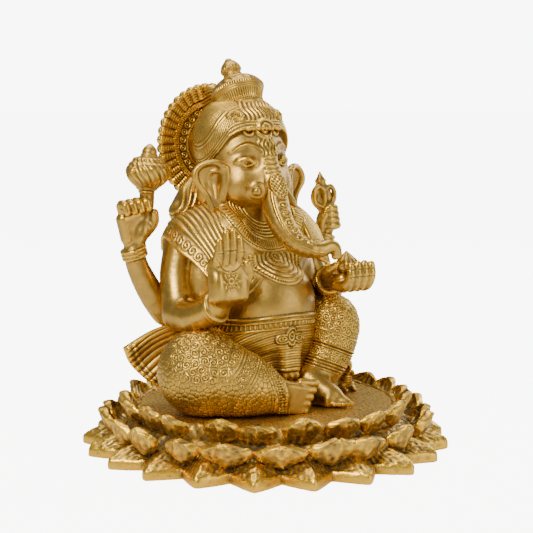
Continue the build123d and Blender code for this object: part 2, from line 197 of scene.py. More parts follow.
def points(me):
    co = np.empty(len(me.vertices) * 3, np.float32)
    me.vertices.foreach_get("co", co)
    return co.reshape(-1, 3)


def normals(me):
    no = np.empty(len(me.vertices) * 3, np.float32)
    me.vertex_normals.foreach_get("vector", no)
    return no.reshape(-1, 3)


def edgeEnds(me):
    e = np.empty(len(me.edges) * 2, np.int32)
    me.edges.foreach_get("vertices", e)
    return e.reshape(-1, 2).T


def blurred(values, ends, rounds):
    a, b = ends
    n = len(values)
    near = np.maximum(np.bincount(a, minlength=n) + np.bincount(b, minlength=n), 1)
    out = values.astype(float)
    for _ in range(rounds):
        cols = [np.bincount(a, col[b], n) + np.bincount(b, col[a], n) for col in out.T]
        out = 0.4 * out + 0.6 * np.stack(cols, 1) / near[:, None]
    return out


def faceOut(me):      # turns an inside-out mesh the right way
    me.calc_loop_triangles()
    tri = np.empty(len(me.loop_triangles) * 3, np.int32)
    me.loop_triangles.foreach_get("vertices", tri)
    a, b, c = (points(me)[tri.reshape(-1, 3)[:, k]].astype(float) for k in range(3))
    if (a * np.cross(b, c)).sum() < 0:
        me.flip_normals()
        me.update()


def finish(me, name, relief=None, node=(), slot="cast_brass", material=None, smoothFirst=2,
           shadeAndPatina=None, cavity=(7.5, 1.3)):
    # relief and the added darkening are functions of the points; the added darkening is patina and painted
    # shade; cavity weighs narrow and wide hollows, which darken as patina and painted shade
    faceOut(me)
    co, ends = points(me), edgeEnds(me)
    if smoothFirst:
        me.vertices.foreach_set("co", blurred(co, ends, smoothFirst).astype(np.float32).ravel())
        me.update()
        co = points(me)
    if relief is not None:
        no = normals(me)
        co = co + no * relief(co, no)[:, None]
        me.vertices.foreach_set("co", co.astype(np.float32).ravel())
        me.update()
    no = normals(me)
    fine = ((blurred(co, ends, 2) - co) * no).sum(1)
    wide = ((blurred(co, ends, 14) - co) * no).sum(1)
    # hollow: recesses darken as patina and painted shade, raised parts lighten as polish and painted highlight
    hollow = np.clip(fine * cavity[0] + wide * cavity[1], -1, 1)
    hollow = blurred(hollow[:, None], ends, 1)[:, 0]
    if shadeAndPatina is not None:
        hollow = np.clip(hollow + shadeAndPatina(co), -1, 1)
    layer = me.attributes.new("hollow", "FLOAT", "POINT")
    layer.data.foreach_set("value", hollow.astype(np.float32))
    me.vertices.foreach_set("co", (co * 0.001).astype(np.float32).ravel())
    me.update()
    me.shade_smooth()
    ob = bpy.data.objects.new(name, me)
    bpy.context.scene.collection.objects.link(ob)
    me.materials.clear()
    me.materials.append(material or castBrass)
    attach(ob, "root")
    if node:
        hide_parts(*node)
    print("made", name, len(me.polygons))
    return ob


def gridFaces(n, m, closeU=False, closeV=False):
    i = np.arange(n if closeU else n - 1)[:, None]
    j = np.arange(m if closeV else m - 1)[None, :]
    a = i * m + j
    b = i * m + (j + 1) % m
    c = ((i + 1) % n) * m + (j + 1) % m
    d = ((i + 1) % n) * m + j
    return np.stack([a, b, c, d], -1).reshape(-1, 4)


def gridMesh(name, rows, closeU=False, closeV=False):      # rows is (n, m, 3)
    return plainMesh(name, rows.reshape(-1, 3), gridFaces(rows.shape[0], rows.shape[1], closeU, closeV))


def joinedMesh(name, sheets):      # sheets are (rows, closeU, closeV), each turned face out
    verts, faces, total = [], [], 0
    for rows, closeU, closeV in sheets:
        co = rows.reshape(-1, 3)
        quads = gridFaces(rows.shape[0], rows.shape[1], closeU, closeV)
        a, b, c, d = (co[quads[:, k]] - co.mean(0) for k in range(4))
        if ((a * np.cross(b, c)).sum() + (a * np.cross(c, d)).sum()) < 0:
            quads = quads[:, ::-1]
        verts.append(co)
        faces.append(quads + total)
        total += len(co)
    return plainMesh(name, np.concatenate(verts), np.concatenate(faces))


def lathe(name, profile, base, axis, around=300, along=200, relief=None, **more):
    # profile rows are radius, height; relief(angle, height, radius) moves the surface out
    p = spline(profile, along)
    ang = np.linspace(0, 2 * math.pi, around, endpoint=False)
    z = unit(axis)
    x = unit(np.cross([0, 1, 0.2], z))
    y = np.cross(z, x)
    turns, heights = np.meshgrid(ang, p[:, 1], indexing="ij")
    radii = np.broadcast_to(p[:, 0], turns.shape)
    if relief is not None:
        radii = np.maximum(radii + relief(turns, heights, radii) * np.clip(radii / 2, 0, 1), 0.01)
    rows = (np.asarray(base, float) + heights[..., None] * z
            + (radii * np.cos(turns))[..., None] * x + (radii * np.sin(turns))[..., None] * y)
    return finish(gridMesh(name, rows, closeU=True), name, smoothFirst=0, **more)


# engraving: heights in mm over the points of a mesh


def scatter(p, spacing):      # evenly spread centres picked from the vertices
    order = np.random.default_rng(5).permutation(len(p))[:24000]
    cells, kept = {}, []
    for i in order:
        q = p[i]
        key = tuple((q // spacing).astype(int))
        near = [k for dx in (-1, 0, 1) for dy in (-1, 0, 1) for dz in (-1, 0, 1)
                for k in cells.get((key[0] + dx, key[1] + dy, key[2] + dz), ())]
        if near and np.min(((p[near] - q) ** 2).sum(1)) < spacing * spacing:
            continue
        cells.setdefault(key, []).append(i)
        kept.append(i)
    return np.array(kept)


def nearest(p, centres):      # index of and distance to the nearest two centres
    first = np.empty(len(p), int)
    d1, d2 = np.empty(len(p)), np.empty(len(p))
    for s in range(0, len(p), 4000):
        d = ((p[s:s + 4000, None] - centres[None]) ** 2).sum(2)
        two = np.argpartition(d, 1, axis=1)[:, :2]
        row = np.arange(len(d))
        a, b = d[row, two[:, 0]], d[row, two[:, 1]]
        swap = b < a
        first[s:s + 4000] = np.where(swap, two[:, 1], two[:, 0])
        d1[s:s + 4000] = np.sqrt(np.minimum(a, b))
        d2[s:s + 4000] = np.sqrt(np.maximum(a, b))
    return first, d1, d2


def curls(p, n, where, spacing=5.6, depth=0.42, pitch=1.75):      # spiral scrolls side by side
    h = np.zeros(len(p))
    idx = np.flatnonzero(where > 0.05)
    if not len(idx):
        return h
    q, qn = p[idx], n[idx]
    seeds = scatter(q, spacing * 0.9)
    c, cn = q[seeds], qn[seeds]
    first, d1, d2 = nearest(q, c)
    t1 = np.cross(cn, [0.2, 0.1, 1.0])
    t1 /= np.linalg.norm(t1, axis=1)[:, None]
    t2 = np.cross(cn, t1)
    v = q - c[first]
    a, b = (v * t1[first]).sum(1), (v * t2[first]).sum(1)
    r = np.hypot(a, b)
    hand = np.where(first % 2, 1.0, -1.0)
    turnBy = first * 2.4
    wave = np.cos(2 * math.pi * r / pitch - hand * np.arctan2(b, a) - turnBy)
    inside = 1 - step(r, spacing * 0.42, spacing * 0.56)
    edge = bump(d2 - d1, 0, 0.7)
    h[idx] = depth * where[idx] * (wave * inside - 0.9 * edge * (1 - inside) + 0.25)
    return h


def pebbles(p, where, spacing, depth):      # packed scales
    h = np.zeros(len(p))
    idx = np.flatnonzero(where > 0.05)
    if not len(idx):
        return h
    q = p[idx]
    c = q[scatter(q, spacing)]
    first, d1, d2 = nearest(q, c)
    dome = np.sqrt(np.clip(1 - (d1 / (spacing * 1.05)) ** 2, 0, 1))
    h[idx] = depth * where[idx] * (dome - 0.6 - 0.5 * bump(d2 - d1, 0, 0.45))
    return h


def along(p, path, count=60):      # arc length of the nearest point of a path, and angle about it
    s = spline(path, count)[:, :3]
    seg = np.linalg.norm(np.diff(s, axis=0), axis=1)
    dist = np.concatenate([[0], np.cumsum(seg)])
    d = ((p[:, None, :] - s[None]) ** 2).sum(2)
    i = np.clip(np.argmin(d, 1), 1, count - 2)
    t = s[i + 1] - s[i - 1]
    t /= np.linalg.norm(t, axis=1)[:, None]
    v = p - s[i]
    shift = (v * t).sum(1)
    v = v - shift[:, None] * t
    side = np.cross(t, [0, 0, 1.0])
    side /= np.linalg.norm(side, axis=1)[:, None]
    up = np.cross(side, t)
    return dist[i] + shift, np.arctan2((v * up).sum(1), (v * side).sum(1))


def hatch(x, pitch):      # rounded teeth
    return np.abs(np.sin(math.pi * x / pitch)) ** 0.7 - 0.6


def castSkin(p):      # slow unevenness of hand-finished casting
    return 0.16 * noise(p, 9) + 0.07 * noise(p, 2.6)


def shaderGroup(name, inputs, outputs):
    tree = bpy.data.node_groups.new(name, "ShaderNodeTree")
    for label, kind, value in inputs:
        socket = tree.interface.new_socket(label, in_out="INPUT", socket_type=kind)
        socket.default_value = value
    for label, kind in outputs:
        tree.interface.new_socket(label, in_out="OUTPUT", socket_type=kind)
    return tree, tree.nodes.new("NodeGroupInput"), tree.nodes.new("NodeGroupOutput")


def mathNode(tree, how, a, b=None, clamp=False):
    n = tree.nodes.new("ShaderNodeMath")
    n.operation = how
    n.use_clamp = clamp
    for i, v in enumerate((a, b)):
        if v is None:
            continue
        if isinstance(v, (int, float)):
            n.inputs[i].default_value = v
        else:
            tree.links.new(v, n.inputs[i])
    return n.outputs[0]


def rangeNode(tree, value, a, b, c=0.0, d=1.0):
    n = tree.nodes.new("ShaderNodeMapRange")
    n.interpolation_type = "SMOOTHSTEP"
    for k, v in zip(("From Min", "From Max", "To Min", "To Max"), (a, b, c, d)):
        n.inputs[k].default_value = v
    tree.links.new(value, n.inputs["Value"])
    return n.outputs["Result"]


def mixColour(tree, factor, a, b):
    n = tree.nodes.new("ShaderNodeMix")
    n.data_type = "RGBA"
    for socket, v in ((n.inputs[0], factor), (n.inputs[6], a), (n.inputs[7], b)):
        if isinstance(v, (int, float, tuple)):
            socket.default_value = v
        else:
            tree.links.new(v, socket)
    return n.outputs[2]


def makeGrain():      # sandy casting grain and slow mottling, from the object's own coordinates
    tree, gin, gout = shaderGroup(
        "castGrain",
        [("Grain Size", "NodeSocketFloat", 900.0), ("Mottle Size", "NodeSocketFloat", 60.0)],
        [("Height", "NodeSocketFloat"), ("Mottle", "NodeSocketFloat"), ("Streak", "NodeSocketFloat")],
    )
    where = tree.nodes.new("ShaderNodeTexCoord").outputs["Object"]
    kinds = (("Height", "Grain Size", 4.0, 0.6), ("Mottle", "Mottle Size", 5.0, 0.62))
    for label, source, detail, rough in kinds:
        n = tree.nodes.new("ShaderNodeTexNoise")
        n.inputs["Detail"].default_value = detail
        n.inputs["Roughness"].default_value = rough
        tree.links.new(where, n.inputs["Vector"])
        tree.links.new(gin.outputs[source], n.inputs["Scale"])
        tree.links.new(n.outputs["Fac"], gout.inputs[label])
    n = tree.nodes.new("ShaderNodeTexNoise")
    n.inputs["Scale"].default_value = 170.0
    n.inputs["Distortion"].default_value = 1.4
    n.inputs["Detail"].default_value = 3.0
    tree.links.new(where, n.inputs["Vector"])
    tree.links.new(n.outputs["Fac"], gout.inputs["Streak"])
    return tree


def makeAgeAndShade():      # where brown patina and painted shade darken the hollows and where polish and painted highlight lighten raised parts
    tree, gin, gout = shaderGroup(
        "brassAgeAndShade",
        [("Hollow", "NodeSocketFloat", 0.0), ("Mottle", "NodeSocketFloat", 0.5),
         ("Patina Shade", "NodeSocketFloat", 1.0), ("Polish Highlight", "NodeSocketFloat", 1.0)],
        [("Patina Shade Mask", "NodeSocketFloat"), ("Polish Highlight Mask", "NodeSocketFloat")],
    )
    spread = mathNode(tree, "MULTIPLY", mathNode(tree, "SUBTRACT", gin.outputs["Mottle"], 0.5), 0.5)
    level = mathNode(tree, "ADD", gin.outputs["Hollow"], spread)
    # patina and painted shade: darker brass in hollows and at the feet of parts
    patinaShadeLevel = rangeNode(tree, level, 0.06, 0.62)
    patina = mathNode(tree, "MULTIPLY", patinaShadeLevel, gin.outputs["Patina Shade"], True)
    tree.links.new(patina, gout.inputs["Patina Shade Mask"])
    # polish and painted highlight: brighter brass on raised parts
    polishHighlight = rangeNode(tree, mathNode(tree, "MULTIPLY", level, -1.0), 0.02, 0.45)
    polish = mathNode(tree, "MULTIPLY", polishHighlight, gin.outputs["Polish Highlight"], True)
    tree.links.new(polish, gout.inputs["Polish Highlight Mask"])
    return tree


grainGroup = makeGrain()
ageShadeGroup = makeAgeAndShade()

# deep is the colour of patina and painted shade in the hollows, bright the colour of polish and painted
# highlight on raised parts
brassLook = {
    "base": (0.57, 0.355, 0.082, 1), "deep": (0.130, 0.094, 0.042, 1), "bright": (0.95, 0.59, 0.066, 1),
    "warm": (0.45, 0.287, 0.074, 1), "patina": 0.95, "polish": 0.85, "roughness": 0.37, "grain": 0.3,
    "grainSize": 900.0, "mottleSize": 45.0,
}


def brassMaterial(name, **changes):
    look = {**brassLook, **changes}
    mat = bpy.data.materials.new(name)
    mat.use_nodes = True
    tree = mat.node_tree
    shader = tree.nodes["Principled BSDF"]
    attr = tree.nodes.new("ShaderNodeAttribute")
    attr.attribute_name = "hollow"
    grain = tree.nodes.new("ShaderNodeGroup")
    grain.node_tree = grainGroup
    grain.inputs["Grain Size"].default_value = look["grainSize"]
    grain.inputs["Mottle Size"].default_value = look["mottleSize"]
    ageShade = tree.nodes.new("ShaderNodeGroup")
    ageShade.node_tree = ageShadeGroup
    ageShade.inputs["Patina Shade"].default_value = look["patina"]
    ageShade.inputs["Polish Highlight"].default_value = look["polish"]
    tree.links.new(attr.outputs["Fac"], ageShade.inputs["Hollow"])
    tree.links.new(grain.outputs["Mottle"], ageShade.inputs["Mottle"])
    tint = rangeNode(tree, grain.outputs["Mottle"], 0.38, 0.66)
    colour = mixColour(tree, tint, look["base"], look["warm"])
    # raised parts lighten to bright as polish and painted highlight; hollows darken to deep as patina and
    # painted shade
    colour = mixColour(tree, ageShade.outputs["Polish Highlight Mask"], colour, look["bright"])
    colour = mixColour(tree, ageShade.outputs["Patina Shade Mask"], colour, look["deep"])
    tree.links.new(colour, shader.inputs["Base Color"])
    streak = mathNode(tree, "MULTIPLY", grain.outputs["Streak"], 0.22)
    rubbed = mathNode(tree, "MULTIPLY", ageShade.outputs["Polish Highlight Mask"], 0.10)
    dull = mathNode(tree, "MULTIPLY", ageShade.outputs["Patina Shade Mask"], 0.28)
    rough = mathNode(tree, "ADD", streak, look["roughness"] - 0.11)
    rough = mathNode(tree, "SUBTRACT", rough, rubbed)
    rough = mathNode(tree, "ADD", rough, dull, True)
    tree.links.new(rough, shader.inputs["Roughness"])
    metal = mathNode(tree, "SUBTRACT", 1.0, mathNode(tree, "MULTIPLY", ageShade.outputs["Patina Shade Mask"], 0.35))
    tree.links.new(metal, shader.inputs["Metallic"])
    relief = tree.nodes.new("ShaderNodeBump")
    relief.inputs["Strength"].default_value = look["grain"]
    relief.inputs["Distance"].default_value = 0.0004
    tree.links.new(grain.outputs["Height"], relief.inputs["Height"])
    tree.links.new(relief.outputs["Normal"], shader.inputs["Normal"])
    return mat


castBrass = brassMaterial("castBrass")
polishedBrass = brassMaterial("polishedBrass", roughness=0.33, patina=0.85, grain=0.18)
lotusBrass = brassMaterial("lotusBrass", roughness=0.38, grain=0.7, grainSize=620.0, patina=1.0)
floorBrass = brassMaterial("floorBrass", roughness=0.46, grain=0.7, grainSize=1100.0, patina=0.9,
                           polish=0.6)

lotus = {"petals": 21, "phase": -94.2, "tip": 151.5, "valley": 130.0, "floorRadius": 102.8,
         "floorTop": 36.0, "floorThickness": 4.0}
middleTier = {
    "half": True, "width": 38.5, "cup": 7.0, "thick": 4.4, "seed": 3,
    "centre": [(119, 11.5), (127, 15.5), (131.5, 21.5), (133.8, 27.5), (134.6, 33)],      # foot to point
    "wall": [(86, 16.2), (100, 16.2), (117, 16.4), (116, 20), (111, 25.5), (107, 25), (104, 21.5), (86, 19.8)],
}
innerTier = {
    "half": False, "width": 34, "cup": 6.0, "thick": 4.0, "seed": 4,
    "centre": [(104, 24), (110.5, 28), (115, 33.5), (117.8, 39.5), (119, 45)],
    "wall": [(86, 20.2), (100, 20.2), (107.5, 22), (109, 29), (107, 36), (103.6, 37), (102.9, 33),
             (101, 31.8), (86, 31.8)],
}


def petalPhase(angle, half):      # -1 to 1 across each petal
    t = (np.degrees(angle) - lotus["phase"]) * lotus["petals"] / 360 + (0.5 if half else 0.0)
    return 2 * (t - np.round(t))


def veins(u, r, p, depth):      # lines that fan from the petal's foot
    fan = u * 5.5 + 0.5 * noise(p, 6)
    return depth * (np.cos(2 * math.pi * fan) * 0.6 + noise(p * np.float32([1, 1, 0.6]), 2.4))


def outerPetals():
    count = lotus["petals"] * 44
    ang = np.linspace(0, 2 * math.pi, count, endpoint=False)
    u = petalPhase(ang, False)
    wobble = 1.3 * np.sin(3 * ang + 1.0) + 1.0 * np.sin(8 * ang)
    tip = lotus["valley"] + (lotus["tip"] - lotus["valley"] + wobble) * (1 - np.abs(u)) ** 1.06
    tip = tip - 1.2 * bump(u, 0, 0.06)
    rows = []
    for r, z in [(86, 12.2), (100, 12.2), (116, 12), (119, 6), (121.5, 0)]:
        rows.append((np.full(count, float(r)), np.full(count, float(z))))
    edge = ((-3.0, 0), (-1.0, 0), (-0.2, 0.6), (0, 1.6), (0, 3.2), (0, 5.0), (-0.3, 6.6), (-0.9, 7.8),
            (-1.9, 8.6))
    for f, z in edge:
        rows.append((tip + f, np.full(count, z)))
    steps = 34
    for k in range(1, steps + 1):
        t = k / steps
        r = (tip - 1.9) * (1 - t) + 113 * t
        rise = 8.6 + 12.0 * t**1.25
        crown = (4.6 * (1 - np.abs(u)) - 1.6) * math.sin(math.pi * min(t * 1.2, 1) ** 0.7)
        rows.append((r, rise + crown))
    for r, z in ((110, 20.5), (104, 16), (90, 16), (86, 15.8)):
        rows.append((np.full(count, float(r)), np.full(count, float(z))))
    r = np.array([a for a, _ in rows]).T
    z = np.array([b for _, b in rows]).T
    xyz = np.stack([r * np.cos(ang)[:, None], r * np.sin(ang)[:, None], z], -1)

    def relief(p, n):
        a = np.arctan2(p[:, 1], p[:, 0])
        r = np.hypot(p[:, 0], p[:, 1])
        top = step(n[:, 2], 0.3, 0.7) * step(p[:, 2], 7.0, 8.6) * step(r, 108, 112)
        side = 1 - step(np.abs(n[:, 2]), 0.3, 0.7)
        leafy = veins(petalPhase(a, False), r, p, 0.42) + 0.55 * noise(p, 3.6) + 0.28 * noise(p, 1.9)
        return top * leafy + side * 0.4 * noise(p, 6) + 0.12 * noise(p, 2)

    # painted shade inside the ring of petal tips, with mottled patina
    def shadeAndPatina(p):
        r = np.hypot(p[:, 0], p[:, 1])
        return 0.05 + 0.2 * (1 - step(r, 120, 136)) * step(p[:, 2], 6, 9) + 0.18 * noise(p, 8)

    finish(gridMesh("lotusOuterPetals", xyz, True, True), "lotusOuterPetals", relief, ["lotus_outer_ring"],
           "lotus_brass", lotusBrass, smoothFirst=1, shadeAndPatina=shadeAndPatina, cavity=(3.6, 0.5))


def cuppedPetals(name, nodeName, half, centre, width, cup, thick, wall, seed):
    # centre is (radius, height) up a petal, wall the section of the ring that carries them
    hand = np.random.default_rng(seed)
    nA, nT = ((29, 36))
    a = np.linspace(-1, 1, nA)[None, :]
    t = np.linspace(0, 1, nT)[:, None]
    spread = np.interp(t, [0, 0.2, 0.4, 0.55, 0.68, 0.8, 0.9, 0.96, 1],
                       [0.42, 0.78, 0.97, 1.0, 0.88, 0.64, 0.36, 0.18, 0.03])      # width along a petal
    ending = np.sqrt(np.clip(1 - (np.clip(t - 0.9, 0, 1) / 0.1) ** 2, 0, 1))
    sheets = []
    for k in range(lotus["petals"]):
        grow, turn = 1 + 0.08 * hand.standard_normal(), 1.6 * hand.standard_normal()
        angle = math.radians(lotus["phase"] + (k + (0.5 if half else 0)) * 360 / lotus["petals"] + turn)
        strayed = [[0.0, 0.0], [0.4, 0.3], [0.9, 0.6], [1.3, 0.9], [1.5, 1.2]] * hand.standard_normal((1, 2))
        line = spline(np.array(centre) + strayed, nT)
        d = np.gradient(line, axis=0)
        d /= np.linalg.norm(d, axis=1)[:, None]
        up = np.stack([-d[:, 1], d[:, 0]], 1)      # towards the inside of the dish
        w = width * grow * spread / 2
        lift = cup * np.abs(a) ** 2.2 * np.sin(math.pi * np.clip(t * 0.85 + 0.1, 0, 1))
        rim = 1 + 0.5 * bump(np.abs(a), 0.84, 0.12) * step(t, 0.2, 0.4) + 0.3 * step(t, 0.8, 0.92)
        body = thick / 2 * rim * (1 - np.abs(a) ** 7) ** 0.5 * ending
        wave = 0.42 * np.cos(2 * math.pi * (a * 3.2 + 0.3 * np.sin(t * 9 + k))) * (1 - a**4)
        ridge = 1.1 * bump(a, 0, 0.16) * (1 - 0.6 * t)
        sides = []
        for sign, order in ((-1, 1), (1, -1)):
            move = lift + sign * body + (wave if sign > 0 else wave * 0.35 - ridge)
            r = line[:, :1] + up[:, :1] * move
            z = line[:, 1:] + up[:, 1:] * move
            s = a * w
            x = r * math.cos(angle) - s * math.sin(angle)
            y = r * math.sin(angle) + s * math.cos(angle)
            sides.append(np.stack([x, y, z], -1)[:, ::order])
        sheets.append((np.concatenate(sides, 1), False, True))
    count = 900
    ang = np.linspace(0, 2 * math.pi, count, endpoint=False)
    w = spline(wall, 60)
    u = petalPhase(ang, half)[:, None]
    wavy = 0.9 * np.cos(math.pi * u) * np.sin(np.linspace(0, math.pi, 60))[None] ** 2
    r = w[None, :, 0] + wavy
    z = np.broadcast_to(w[None, :, 1], r.shape)
    sheets.append((np.stack([r * np.cos(ang)[:, None], r * np.sin(ang)[:, None], z], -1), True, True))

    def behind(p):
        foot, low = centre[0]
        return 1 - step(np.hypot(p[:, 0], p[:, 1]) - 0.35 * (p[:, 2] - low), foot - 5, foot - 1)

    def relief(p, n):
        return (0.7 + 0.6 * behind(p)) * noise(p, 5.5) + 0.42 * noise(p, 2.8) + 0.1 * noise(p, 1.2)

    # painted shade at the feet of the petals and behind them, with mottled patina
    def shadeAndPatina(p):
        up = (p[:, 2] - centre[0][1]) / (centre[-1][1] - centre[0][1])
        return 0.38 * (1 - step(up, 0.05, 0.65)) + 0.36 * behind(p) + 0.2 * noise(p, 7) + 0.07 * noise(p, 2.5)

    finish(joinedMesh(name, sheets), name, relief, [nodeName], "lotus_brass", lotusBrass, smoothFirst=1,
           shadeAndPatina=shadeAndPatina, cavity=(3.4, 0.35))


def lotusFloor():
    rings, count = ((170, 760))
    ang = np.linspace(0, 2 * math.pi, count, endpoint=False)
    rim, top = lotus["floorRadius"], lotus["floorTop"]
    radii = np.concatenate([[rim, rim], np.linspace(rim - 0.2, 0.05, rings)])
    r = np.broadcast_to(radii, (count, len(radii)))
    z = np.full(r.shape, top)
    z[:, 0] = top - lotus["floorThickness"]
    xyz = np.stack([r * np.cos(ang)[:, None], r * np.sin(ang)[:, None], z], -1)

    def relief(p, n):
        up = step(n[:, 2], 0.5, 0.9)
        return up * (0.34 * noise(p, 1.5) + 0.22 * noise(p, 4) - 0.15)

    finish(gridMesh("lotusFloorSkin", xyz, True), "lotusFloorSkin", relief, ["lotus_floor"], "lotus_brass",
           floorBrass, smoothFirst=0)


outerPetals()
cuppedPetals("lotusMiddlePetals", "lotus_middle_ring", **middleTier)
cuppedPetals("lotusInnerPetals", "lotus_inner_ring", **innerTier)
lotusFloor()
print("lotus done")


def mirrorPath(path):
    return [(-p[0],) + tuple(p[1:]) for p in path]


def tilt(x=0, y=0, z=0):
    m = (Matrix.Rotation(math.radians(z), 3, "Z") @ Matrix.Rotation(math.radians(y), 3, "Y")
         @ Matrix.Rotation(math.radians(x), 3, "X"))
    return np.array(m)


body = {"necklacePitch": 2.6, "collarTooth": 2.2, "pendantRadius": 20.0, "bandTop": 113, "bandFoot": 66,
        "foldPitch": 7.0, "clothPitch": 6.5, "hairPitch": 4.4, "lockPitch": 3.8}


def makeBody():
    c = Clay((-66, -46, 35), (66, 78, 232), 1.05)
    c.add(c.ball((0, -2, 117), (39, 38.5, 39)))
    c.add(c.ball((0, 6, 90), (47, 38, 26)), 10)
    c.add(c.ball((0, 12, 62), (54, 38, 28)), 12)
    c.add(c.ball((0, 22, 150), (44, 28, 34)), 14)
    c.add(c.ball((0, 38, 130), (42, 24, 60)), 12)
    for s in (-1, 1):
        c.add(c.ball((s * 46, 34, 166), (18, 18, 18)), 12)
        c.add(c.ball((s * 20, 4, 158), (20, 16, 14)), 10)
        c.add(c.ball((s * 42, 26, 130), (22, 22, 38)), 10)
        c.add(c.ball((s * 29, 18, 170), (21, 25, 26)), 10)
        c.add(c.ball((s * 26, 24, 193), (12, 12, 14)), 6)
        c.add(c.tube([(s * 24, 54, 220, 8), (s * 36, 52, 208, 10.5), (s * 48, 50, 190, 12)], 8), 7)
    c.add(c.rod((0, 24, 172), (0, 26, 206), 24, 19), 10)
    c.add(c.slab((0, -31, 74), (9, 5, 16), 4), 8)
    c.clip(36.0 - c.z)
    me = c.mesh("body")

    def relief(p, n):
        x, y, z = p.T
        front = step(-n[:, 1], -0.25, 0.15)
        h = castSkin(p)
        # necklaces, the broad collar and the pendant
        hang = np.hypot(x / 1.04, (z - 198) / 1.0)
        ring = between(hang, 15, 28) * front
        h += ring * 0.45 * np.cos(2 * math.pi * hang / body["necklacePitch"])
        collar = between(hang, 29, 36) * front
        h += collar * (0.9 + 0.45 * hatch(np.arctan2(x, 198 - z) * 33, body["collarTooth"]))
        h += front * 0.8 * (bump(hang, 37.4, 0.8) + bump(hang, 28.4, 0.8))
        drop = np.hypot(x / 1.25, (z - 156) / 1.0)
        size = body["pendantRadius"]
        hung = step(161 - z, 0, 3) * front * step(hang, 36, 39)
        pend = between(drop, 0, size) * hung
        h += pend * (0.7 + 0.36 * np.cos(2 * math.pi * drop / 3.3))
        h += hung * 0.5 * between(drop, size - 3, size) * hatch(np.arctan2(x, 156 - z) * 19, 1.8)
        # sacred thread, three cords
        line = (x + 26) * 0.72 - (z - 140) * 0.69
        cord = front * between(z, 112, 142) * (1 - pend)
        for off in (-2.6, 0, 2.6):
            h += 0.9 * cord * bump(line, off, 0.7)
        # waist band, dots and hanging folds
        sag = z + 0.0035 * x * x
        top, foot = body["bandTop"], body["bandFoot"]
        h += 0.9 * between(sag, foot, top, 0.8)
        h += 0.6 * (bump(sag, top - 1, 0.8) + bump(sag, top - 4.4, 0.6) + bump(sag, top - 10.6, 0.7))
        dots = np.clip(np.cos(2 * math.pi * np.arctan2(x, -y + 5) * 38 / 3.6), 0, 1)
        h += 0.6 * dots * between(sag, top - 9, top - 5.6, 0.4)
        fold = z + 0.006 * (x - 10) ** 2 + 1.5 * np.sin(x / 13)
        deep = np.abs(np.sin(math.pi * fold / body["foldPitch"])) ** 0.8 - 0.4
        h += between(sag, foot, top - 11.5, 0.8) * (0.34 * deep + 0.14 * np.sin(2 * math.pi * fold / 2.2))
        # cloth over the hips and behind
        low = 1 - step(sag, foot - 6, foot)
        h += low * 0.4 * np.sin(2 * math.pi * (x + 0.25 * z + 2 * noise(p, 14)) / body["clothPitch"])
        # flame buckle
        fx, fz = x + 2, z - 93
        lobe = np.hypot(fx / 0.8, (fz - 2) / 1.5)
        for side in (-7, 7):
            lobe = np.minimum(lobe, np.hypot(fx + side, fz / 0.8))
        buckle = (1 - step(lobe, 4.6, 6.4)) * step(-n[:, 1], 0.2, 0.5)
        h = h * (1 - 0.8 * buckle) + buckle * (2.6 + 0.5 * np.cos(2 * math.pi * lobe / 2.6))
        # long hair and plain back
        back = step(n[:, 1], 0.2, 0.6) * step(z, 128, 134) * (1 - step(np.abs(x), 26, 30))
        h += back * 0.7 * np.sin(2 * math.pi * (x + 1.5 * np.sin(z / 8)) / body["hairPitch"])
        locks = step(z, 186, 190) * step(y, 30, 36) * step(np.abs(x), 20, 26)
        strand = 0.8 * np.abs(x) + 0.55 * z + 1.3 * np.sin(z / 5)
        h += locks * 0.7 * np.sin(2 * math.pi * strand / body["lockPitch"])
        return h

    finish(me, "bodyCasting", relief, ["body"])


def patch(name, control, relief, thickness, replaced=()):
    # control is rows of points; relief(u, v) gives the height in mm
    rows = np.array(control, float)
    nu, nv = ((90, 120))
    cols = np.stack([spline(rows[:, j], nu) for j in range(rows.shape[1])], 1)
    surf = np.stack([spline(cols[i], nv) for i in range(nu)], 0)
    du, dv = np.gradient(surf, axis=0), np.gradient(surf, axis=1)
    n = np.cross(du, dv)
    n /= np.linalg.norm(n, axis=2)[..., None]
    away = np.array([0.0, 20.0, 110.0])
    if ((surf - away) * n).sum() < 0:
        n = -n
    u, v = np.meshgrid(np.linspace(0, 1, nu), np.linspace(0, 1, nv), indexing="ij")
    edge = np.minimum(np.minimum(u, 1 - u) * nu, np.minimum(v, 1 - v) * nv)
    roll = np.sqrt(np.clip(1 - (1 - np.clip(edge / 5, 0, 1)) ** 2, 0, 1))
    top = surf + n * ((relief(u, v) + thickness / 2) * roll)[..., None]
    under = surf - n * (thickness / 2 * roll)[..., None]
    both = np.concatenate([top, under[:, ::-1]], 1)
    me = gridMesh(name, both, False, True)
    bm = bmesh.new()
    bm.from_mesh(me)
    bmesh.ops.remove_doubles(bm, verts=bm.verts, dist=0.02)
    bmesh.ops.recalc_face_normals(bm, faces=bm.faces)
    bm.to_mesh(me)
    bm.free()
    return finish(me, name, None, replaced, smoothFirst=1)


def scrollBand(s, w, pitch, width):      # a running scroll; s along, w across from -1 to 1
    k = np.round(s / pitch)
    a = s - k * pitch
    b = w * width / 2
    r = np.hypot(a, b)
    hand = np.where(k % 2 > 0.5, 1, -1)
    spiral = np.cos(2 * math.pi * r / (pitch * 0.34) - np.arctan2(b * hand, a * hand))
    inside = 1 - step(r, pitch * 0.40, pitch * 0.52)
    return spiral * inside - 0.5 * (1 - inside)


shawlLook = {"pleats": 12.0, "border": 0.72, "scrollPitch": 6.6, "scrollWidth": 8.5, "thickness": 3.6}


